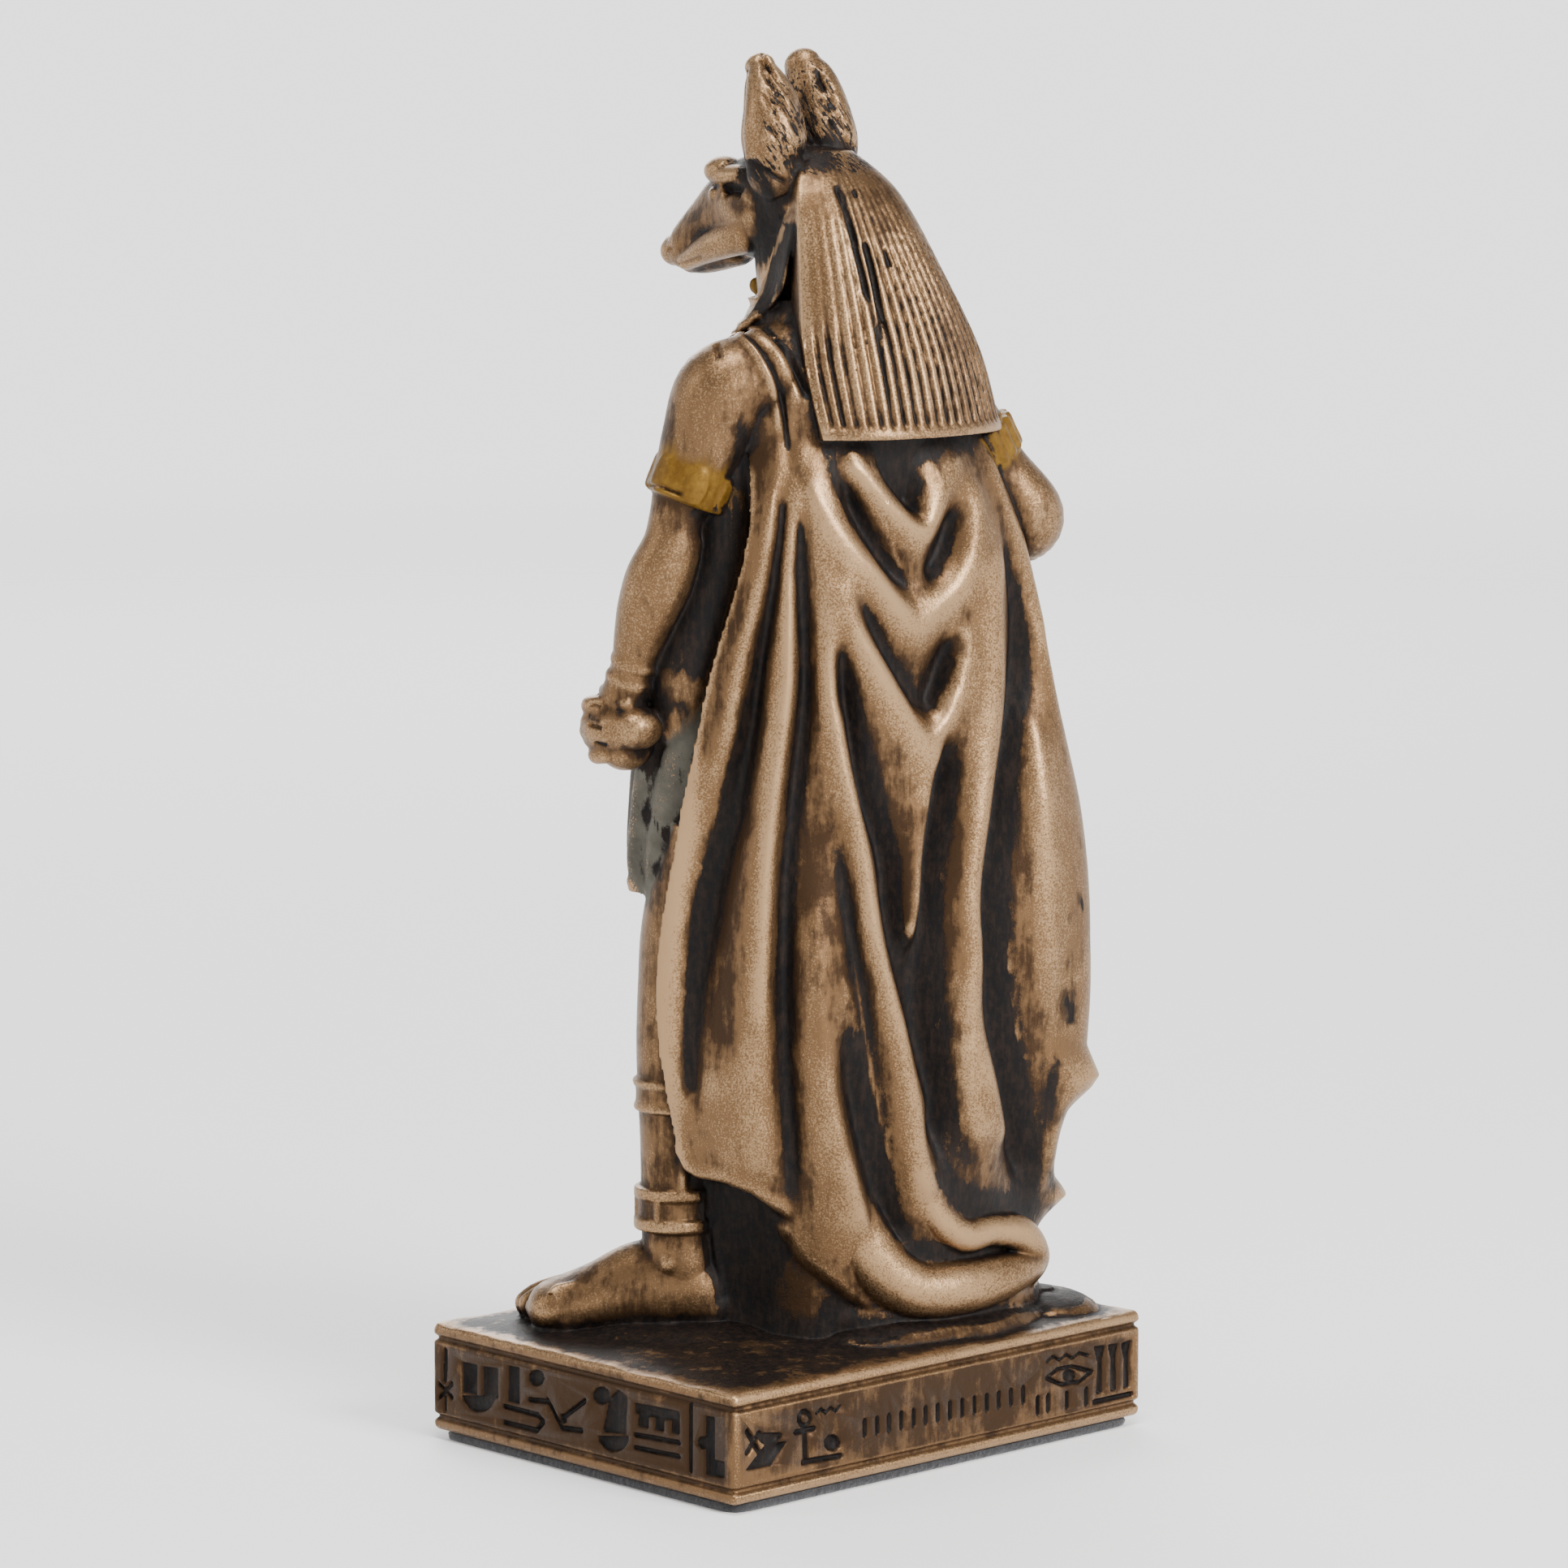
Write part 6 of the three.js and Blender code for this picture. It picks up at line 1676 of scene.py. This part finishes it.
class Maths:
    """A number that runs through a material; arithmetic on it adds Math nodes."""

    def __init__(self, shader, socket):
        self.shader = shader
        self.socket = socket

    def using(self, operation, *values):
        return self.shader.node("ShaderNodeMath", {"operation": operation}, dict(enumerate(values)))

    def __add__(self, other):
        return self.using("ADD", self, other)

    def __radd__(self, other):
        return self.using("ADD", other, self)

    def __sub__(self, other):
        return self.using("SUBTRACT", self, other)

    def __rsub__(self, other):
        return self.using("SUBTRACT", other, self)

    def __mul__(self, other):
        return self.using("MULTIPLY", self, other)

    def maximum(self, other):
        return self.using("MAXIMUM", self, other)

    def between(self, low, high):
        """0 below low, 1 above high, and smooth between them."""
        return self.shader.node("ShaderNodeMapRange", {"interpolation_type": "SMOOTHSTEP"}, {
            "Value": self, "From Min": low, "From Max": high, "To Min": 0.0, "To Max": 1.0})


class Shader:
    """Builds one material's nodes."""

    def __init__(self, name):
        self.material = bpy.data.materials.new(name)
        self.material.use_nodes = True
        self.tree = self.material.node_tree
        self.tree.nodes.clear()
        self.place = self.node("ShaderNodeTexCoord", output="Object")

    def node(self, kind, settings=None, sockets=None, output=0):
        """One output of a new node, with its settings, and with values or links for its sockets."""
        made = self.tree.nodes.new(kind)
        for key, value in (settings or {}).items():
            setattr(made, key, value)
        for key, value in (sockets or {}).items():
            if isinstance(value, Maths):
                self.tree.links.new(value.socket, made.inputs[key])
            else:
                made.inputs[key].default_value = value
        return Maths(self, made.outputs[output])

    def attribute(self, name):
        return self.node("ShaderNodeAttribute", {"attribute_name": name}, output="Fac")

    def noise(self, size, detail=3.0, roughness=0.55, stretch=None, turn=(0, 0, 0)):
        """Cloudy noise with features of about the given size in millimetres, longer one way if stretched."""
        place = self.place
        if stretch:
            place = self.node("ShaderNodeMapping", {"vector_type": "TEXTURE"}, {
                "Vector": place, "Scale": (1.0, 1.0, stretch), "Rotation": turn})
        return self.node("ShaderNodeTexNoise", None, {
            "Vector": place, "Scale": 1 / (size * MM), "Detail": detail, "Roughness": roughness})

    def mix(self, share, first, second):
        """Two colours mixed by a share."""
        first, second = (value if isinstance(value, Maths) else (*value, 1) for value in (first, second))
        return self.node("ShaderNodeMix", {"data_type": "RGBA"}, {0: share, 6: first, 7: second}, output=2)

    def bump(self, height, strength, distance, below=None):
        sockets = {"Height": height, "Strength": strength, "Distance": distance}
        if below:
            sockets["Normal"] = below
        return self.node("ShaderNodeBump", None, sockets)

    def finish(self, sockets):
        """The material, with these values and links on its surface."""
        surface = self.node("ShaderNodeBsdfPrincipled", None, sockets)
        output = self.tree.nodes.new("ShaderNodeOutputMaterial")
        self.tree.links.new(surface.socket, output.inputs["Surface"])
        return self.material


PAINT_LAYERS = ("hollow_fine", "hollow_wide", "wash_and_shade", "gold", "cloth", "ground", "fur", "fold", "groove",
                "roll", "block", "rub_and_painted_light")
# How the ears' hair is turned from upright, in radians
HAIR_TURN = (0.366, 0.423, 0.0)


def bronze_resin(settings):
    """Bronze paint rubbed over the high parts of a dark wash, with gold bands and a painted kilt, painted
    highlights on lit crests, and painted shade in gaps, under the hem and on sides that face away from the
    light.

    In each sum the number with an input says how strongly it counts, and between() where the sum sets in.
    """
    shader = Shader("bronze_resin")
    fine, wide, wash_and_shade, gold, cloth, ground, fur, fold, groove, roll, block, rub_and_painted_light = (
        shader.attribute(name) for name in PAINT_LAYERS)

    speck = shader.noise(0.12, 2.0, 0.6)
    ragged = shader.noise(0.55, 4.0, 0.65)
    patch = shader.noise(2.6, 3.0, 0.6)
    streak = shader.noise(0.9, 4.0, 0.6, 6.0)
    hair = shader.noise(0.2, 3.0, 0.6, 6.0, HAIR_TURN)
    brushed = shader.noise(0.35, 3.0, 0.65, 4.0)

    hollow = (fine - 0.5) * 2.8 + (wide - 0.5) * 1.7 - fold * 0.5 + groove * 0.5 - roll * 0.35
    edge_noise = (ragged - 0.5) * 0.8 + (streak - 0.5) * 0.8 + (brushed - 0.5) * 0.4 + (speck - 0.5) * 0.3
    # Dark paint: wash in the hollows, and painted shade from the shade strokes
    dark = (hollow + wash_and_shade * 0.95 + edge_noise + ground * 0.6 + fur * ((hair - 0.5) * 4.5 + 0.6)
            - rub_and_painted_light.maximum(0) * 0.55).between(0.22, 0.55)
    # Brown glaze, and painted shade from the browner strokes and the plinth's left side
    glaze_and_shade = (hollow * 1.1 + wash_and_shade * 0.8 + (patch - 0.5) * 1.9 + (streak - 0.5) * 1.7
             + (ragged - 0.5) * 0.8 + (brushed - 0.5) * 0.9 + (speck - 0.5) * 0.5 + ground * 0.4
             + block * 0.3 - rub_and_painted_light * 0.75).between(-0.42, 0.38)
    # Lighter paint on edges and crests, and painted highlights from the bright strokes
    high = ((0.5 - fine) * 3.4 + fold * 0.25 + (speck - 0.5) * 2.1 + (patch - 0.5) * 0.6 + rub_and_painted_light * 0.5
            + roll * 0.1 - block * 0.22).between(0.05, 0.75)

    metal = shader.mix(high, settings.bronze, settings.highlight)
    metal = shader.mix(glaze_and_shade * 0.85, metal, settings.brown)
    gilt = shader.mix((ragged * 0.6 + patch * 0.5).between(0.4, 0.75), settings.gold, settings.gold_light)
    gold_cover = gold * (1 - (hollow + edge_noise * 0.7).between(0.25, 0.6))
    colour = shader.mix(gold_cover, metal, gilt)
    green = shader.mix(patch.between(0.35, 0.7), settings.kilt, settings.kilt_light)
    cloth_cover = cloth * (1 - (high * 0.9 + (ragged - 0.5) * 0.5).between(0.55, 0.8))
    colour = shader.mix(cloth_cover, colour, green)
    deep = shader.mix((ragged * 0.4 + brushed * 0.6).between(0.4, 0.66), settings.wash_and_shade, settings.wash_and_shade_brown)
    colour = shader.mix(dark, colour, deep)

    bare = (1 - dark) * (1 - cloth_cover)
    metallic = bare * 0.85 * (1 - glaze_and_shade * 0.3) * (1 - gold_cover * 0.6)
    roughness = 0.38 + glaze_and_shade * 0.08 + (speck - 0.5) * 0.2 + dark * 0.06 + cloth_cover * 0.15

    grain = shader.noise(0.07, 2.0, 0.6)
    wear = shader.bump(ragged * 0.6 + streak * 0.4 - dark * 0.35, 0.65, 0.00011)
    relief = shader.bump(grain, 0.5, 0.000014, wear)
    return shader.finish({"Base Color": colour, "Metallic": metallic, "Roughness": roughness,
                          "Normal": relief, "Specular IOR Level": 0.12})


def felt_cloth(settings):
    """Short black felt."""
    shader = Shader("felt")
    fluff = shader.noise(0.18, 4.0, 0.7)
    colour = shader.mix(fluff.between(0.35, 0.75), settings.felt, settings.felt_light)
    return shader.finish({"Base Color": colour, "Roughness": 0.95, "Sheen Weight": 0.3,
                          "Normal": shader.bump(fluff, 0.8, 0.00012)})


def floor_paint(settings):
    """Pale paint that fades out away from the figure, so that the floor has no visible edge."""
    shader = Shader("pale_floor")
    distance = shader.node("ShaderNodeVectorMath", {"operation": "LENGTH"}, {"Vector": shader.place},
                           output="Value")
    return shader.finish({"Base Color": (*settings.floor, 1), "Roughness": 0.85,
                          "Alpha": 1 - distance.between(0.16, 0.75),
                          "Normal": shader.bump(shader.noise(40.0), 0.02, 0.0002)})


def surround_light(settings):
    """White all round, brighter at and below the horizon than above."""
    world = bpy.data.worlds.new("studio")
    world.use_nodes = True
    nodes, links = world.node_tree.nodes, world.node_tree.links
    background = nodes["Background"]
    background.inputs["Color"].default_value = (*settings.surround, 1)
    place = nodes.new("ShaderNodeTexCoord")
    parts = nodes.new("ShaderNodeSeparateXYZ")
    level = nodes.new("ShaderNodeMapRange")
    level.interpolation_type = "SMOOTHSTEP"
    for name, value in (("From Min", 0.1), ("From Max", 0.45), ("To Min", settings.horizon_strength),
                        ("To Max", settings.surround_strength)):
        level.inputs[name].default_value = value
    links.new(place.outputs["Generated"], parts.inputs["Vector"])
    links.new(parts.outputs["Z"], level.inputs["Value"])
    links.new(level.outputs["Result"], background.inputs["Strength"])
    return world


# The felt pad

FELT_SIDES = 720
FELT_SQUARENESS = 30.0
FELT_SEED = 11
# Rings of the lower half, and mirrored of the upper one: inset, height over the underside, and fuzz
FELT_RINGS = ((0.5, 0, 0), (0.12, 0, 0.05), (0.05, 0.12, 0.12))
FELT_WIDEST_FUZZ = 0.16


def build_felt():
    """A pad whose edge is fuzzy, in short tufts."""
    low, high = float(FELT_LOW[2]), float(FELT_HIGH[2])
    angle = full_turn(FELT_SIDES)
    corner = np.abs(np.cos(angle)) ** FELT_SQUARENESS + np.abs(np.sin(angle)) ** FELT_SQUARENESS
    reach = corner ** (-1 / FELT_SQUARENESS)
    outline = np.stack([np.cos(angle) * reach * FELT_HIGH[0], np.sin(angle) * reach * FELT_HIGH[1]], -1)
    rows = [(inset, low + z, fuzz) for inset, z, fuzz in FELT_RINGS]
    rows.append((0.0, (low + high) / 2, FELT_WIDEST_FUZZ))
    rows += [(inset, high - z, fuzz) for inset, z, fuzz in reversed(FELT_RINGS)]
    draw = np.random.default_rng(FELT_SEED)
    rings = []
    for inset, z, fuzz in rows:
        tuft = draw.uniform(-1, 0.3, FELT_SIDES)
        scale = 1 - (inset - fuzz * tuft * 0.6) / np.linalg.norm(outline, axis=1)
        rings.append(np.concatenate([outline * scale[:, None], np.full((FELT_SIDES, 1), z)], 1))
    return mesh_of("felt_base", [skin(rings)])


# The stage

# Each lamp: its place and width in metres, and its power
LIGHTS = {
    "broad light from the left": ((0.42, -0.25, 0.36), 0.26, 0.8),
    "broad light from the right": ((-0.02, 0.5, 0.3), 0.22, 4.6),
    "soft light from above": ((0.1, 0.12, 0.55), 0.26, 3.0),
    "light on the far side": ((-0.3, -0.4, 0.3), 0.4, 2.6),
}
LAMP_AIM = (0, 0, 0.045)
FLOOR_HALF = 1.2
CLIP_START, CLIP_END = 0.01, 20


def in_scene(name, data, place=(0, 0, 0), target=None):
    """An object of its own, put at a place and, with a target, turned to look at it."""
    thing = bpy.data.objects.new(name, data)
    thing.location = place
    if target is not None:
        way = Vector(target) - thing.location
        thing.rotation_euler = way.to_track_quat("-Z", "Y").to_euler()
    bpy.context.scene.collection.objects.link(thing)
    return thing


def make_stage(settings):
    """The floor, the lamps, the light all round and the camera."""
    floor = bpy.data.meshes.new("floor")
    corners = [(x * FLOOR_HALF, y * FLOOR_HALF, 0) for x, y in ((-1, -1), (1, -1), (1, 1), (-1, 1))]
    floor.from_pydata(corners, [], [(0, 1, 2, 3)])
    floor.materials.append(floor_paint(settings))
    in_scene("floor", floor)
    for name, (place, size, power) in LIGHTS.items():
        lamp = bpy.data.lights.new(name, "AREA")
        lamp.shape = "DISK"
        lamp.size = size
        lamp.energy = power * settings.brightness
        in_scene(name, lamp, place, LAMP_AIM)
    bpy.context.scene.world = surround_light(settings)
    camera = bpy.data.cameras.new("camera")
    camera.lens = CAMERA_LENS
    camera.sensor_width = CAMERA_SENSOR
    camera.clip_start, camera.clip_end = CLIP_START, CLIP_END
    bpy.context.scene.camera = in_scene("camera", camera, CAMERA_PLACE * MM, CAMERA_AIM * MM)


# The add-on


def number_property(name, description, default):
    return bpy.props.FloatProperty(name=name, description=description, default=default, min=0.0)


def colour_property(name, description, default):
    return bpy.props.FloatVectorProperty(name=name, description=description, default=default, size=3, min=0.0,
                                         max=1.0, subtype="COLOR")


class FigureSizes(bpy.types.PropertyGroup):
    """Sizes of the carving, in millimetres."""

    ridge_pitch: number_property("Ridge pitch", "Distance between two ridges of the wig", 0.72)
    ridge_depth: number_property("Ridge depth", "Depth of the grooves of the wig", 0.34)
    groove_depth: number_property("Groove depth", "Depth of the two grooves round the plinth", 0.28)
    frieze_depth: number_property("Frieze depth", "Depth of the marks in the plinth", 0.34)


class FigureFinish(bpy.types.PropertyGroup):
    """Colours of the paint and the pad."""

    bronze: colour_property("Bronze", "Bronze paint", (0.135, 0.076, 0.036))
    # Also the colour of the painted highlights
    highlight: colour_property("Highlight", "Bronze paint on the highest parts", (0.32, 0.2, 0.105))
    # Also the colour of painted shade on slopes and on the plinth's left side
    brown: colour_property("Brown", "Brown glaze over the bronze", (0.019, 0.0092, 0.0045))
    # The two wash colours also serve as painted shade in gaps and under the hem
    wash_and_shade: colour_property("Wash", "Dark wash in the hollows", (0.0035, 0.0028, 0.0028))
    wash_and_shade_brown: colour_property("Brown wash", "Thinner parts of the wash", (0.0135, 0.0078, 0.0052))
    gold: colour_property("Gold", "Gold paint", (0.088, 0.042, 0.006))
    gold_light: colour_property("Light gold", "Thicker gold paint", (0.152, 0.081, 0.012))
    kilt: colour_property("Kilt", "Paint of the kilt", (0.053, 0.048, 0.037))
    kilt_light: colour_property("Light kilt", "Worn paint of the kilt", (0.095, 0.088, 0.07))
    felt: colour_property("Felt", "The pad", (0.012, 0.012, 0.014))
    felt_light: colour_property("Felt tufts", "The pad's light fibres", (0.035, 0.035, 0.04))


class FigureStage(bpy.types.PropertyGroup):
    """The floor and the light."""

    floor: colour_property("Floor", "The floor", (0.86, 0.86, 0.86))
    surround: colour_property("Surround", "Light from all round", (1.0, 1.0, 1.0))
    surround_strength: number_property("Surround strength", "Light from all round", 0.45)
    horizon_strength: number_property("Horizon strength", "Light from the horizon", 2.2)
    brightness: number_property("Brightness", "Share of the lamps' power", 1.0)


class FIGURE_OT_casting(bpy.types.Operator):
    """Build the figure and its plinth"""

    bl_idname = "figure.casting"
    bl_label = "Cast figure"

    def execute(self, context):
        thing = settle(build_casting(context.scene.figure_sizes), "anubis_figure")
        thing.data.materials.clear()
        thing.data.materials.append(bronze_resin(context.scene.figure_finish))
        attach(thing, "root")
        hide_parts("anubis_casting")
        return {"FINISHED"}


class FIGURE_OT_felt(bpy.types.Operator):
    """Build the felt pad"""

    bl_idname = "figure.felt"
    bl_label = "Felt pad"

    def execute(self, context):
        thing = settle(build_felt(), "felt_base")
        thing.data.materials.append(felt_cloth(context.scene.figure_finish))
        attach(thing, "root")
        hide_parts("felt_pad")
        return {"FINISHED"}


class FIGURE_OT_stage(bpy.types.Operator):
    """Set up the floor, the light and the camera"""

    bl_idname = "figure.stage"
    bl_label = "Stage"

    def execute(self, context):
        make_stage(context.scene.figure_stage)
        return {"FINISHED"}


class FIGURE_PT_panel(bpy.types.Panel):
    """Lists the figure's pieces and its settings"""

    bl_label = "Figure"
    bl_idname = "FIGURE_PT_panel"
    bl_space_type = "VIEW_3D"
    bl_region_type = "UI"
    bl_category = "Figure"

    def draw(self, context):
        for group in (context.scene.figure_sizes, context.scene.figure_finish, context.scene.figure_stage):
            box = self.layout.box()
            for name in group.__annotations__:
                box.prop(group, name)
        for operator in (FIGURE_OT_stage, FIGURE_OT_casting, FIGURE_OT_felt):
            self.layout.operator(operator.bl_idname)


CLASSES = (FigureSizes, FigureFinish, FigureStage, FIGURE_OT_casting, FIGURE_OT_felt, FIGURE_OT_stage,
           FIGURE_PT_panel)


def register():
    for kind in CLASSES:
        bpy.utils.register_class(kind)
    bpy.types.Scene.figure_sizes = bpy.props.PointerProperty(type=FigureSizes)
    bpy.types.Scene.figure_finish = bpy.props.PointerProperty(type=FigureFinish)
    bpy.types.Scene.figure_stage = bpy.props.PointerProperty(type=FigureStage)


def unregister():
    del bpy.types.Scene.figure_stage
    del bpy.types.Scene.figure_finish
    del bpy.types.Scene.figure_sizes
    for kind in reversed(CLASSES):
        bpy.utils.unregister_class(kind)


def main():
    register()
    bpy.ops.figure.stage()
    bpy.ops.figure.casting()
    bpy.ops.figure.felt()


if __name__ == "__main__":
    main()
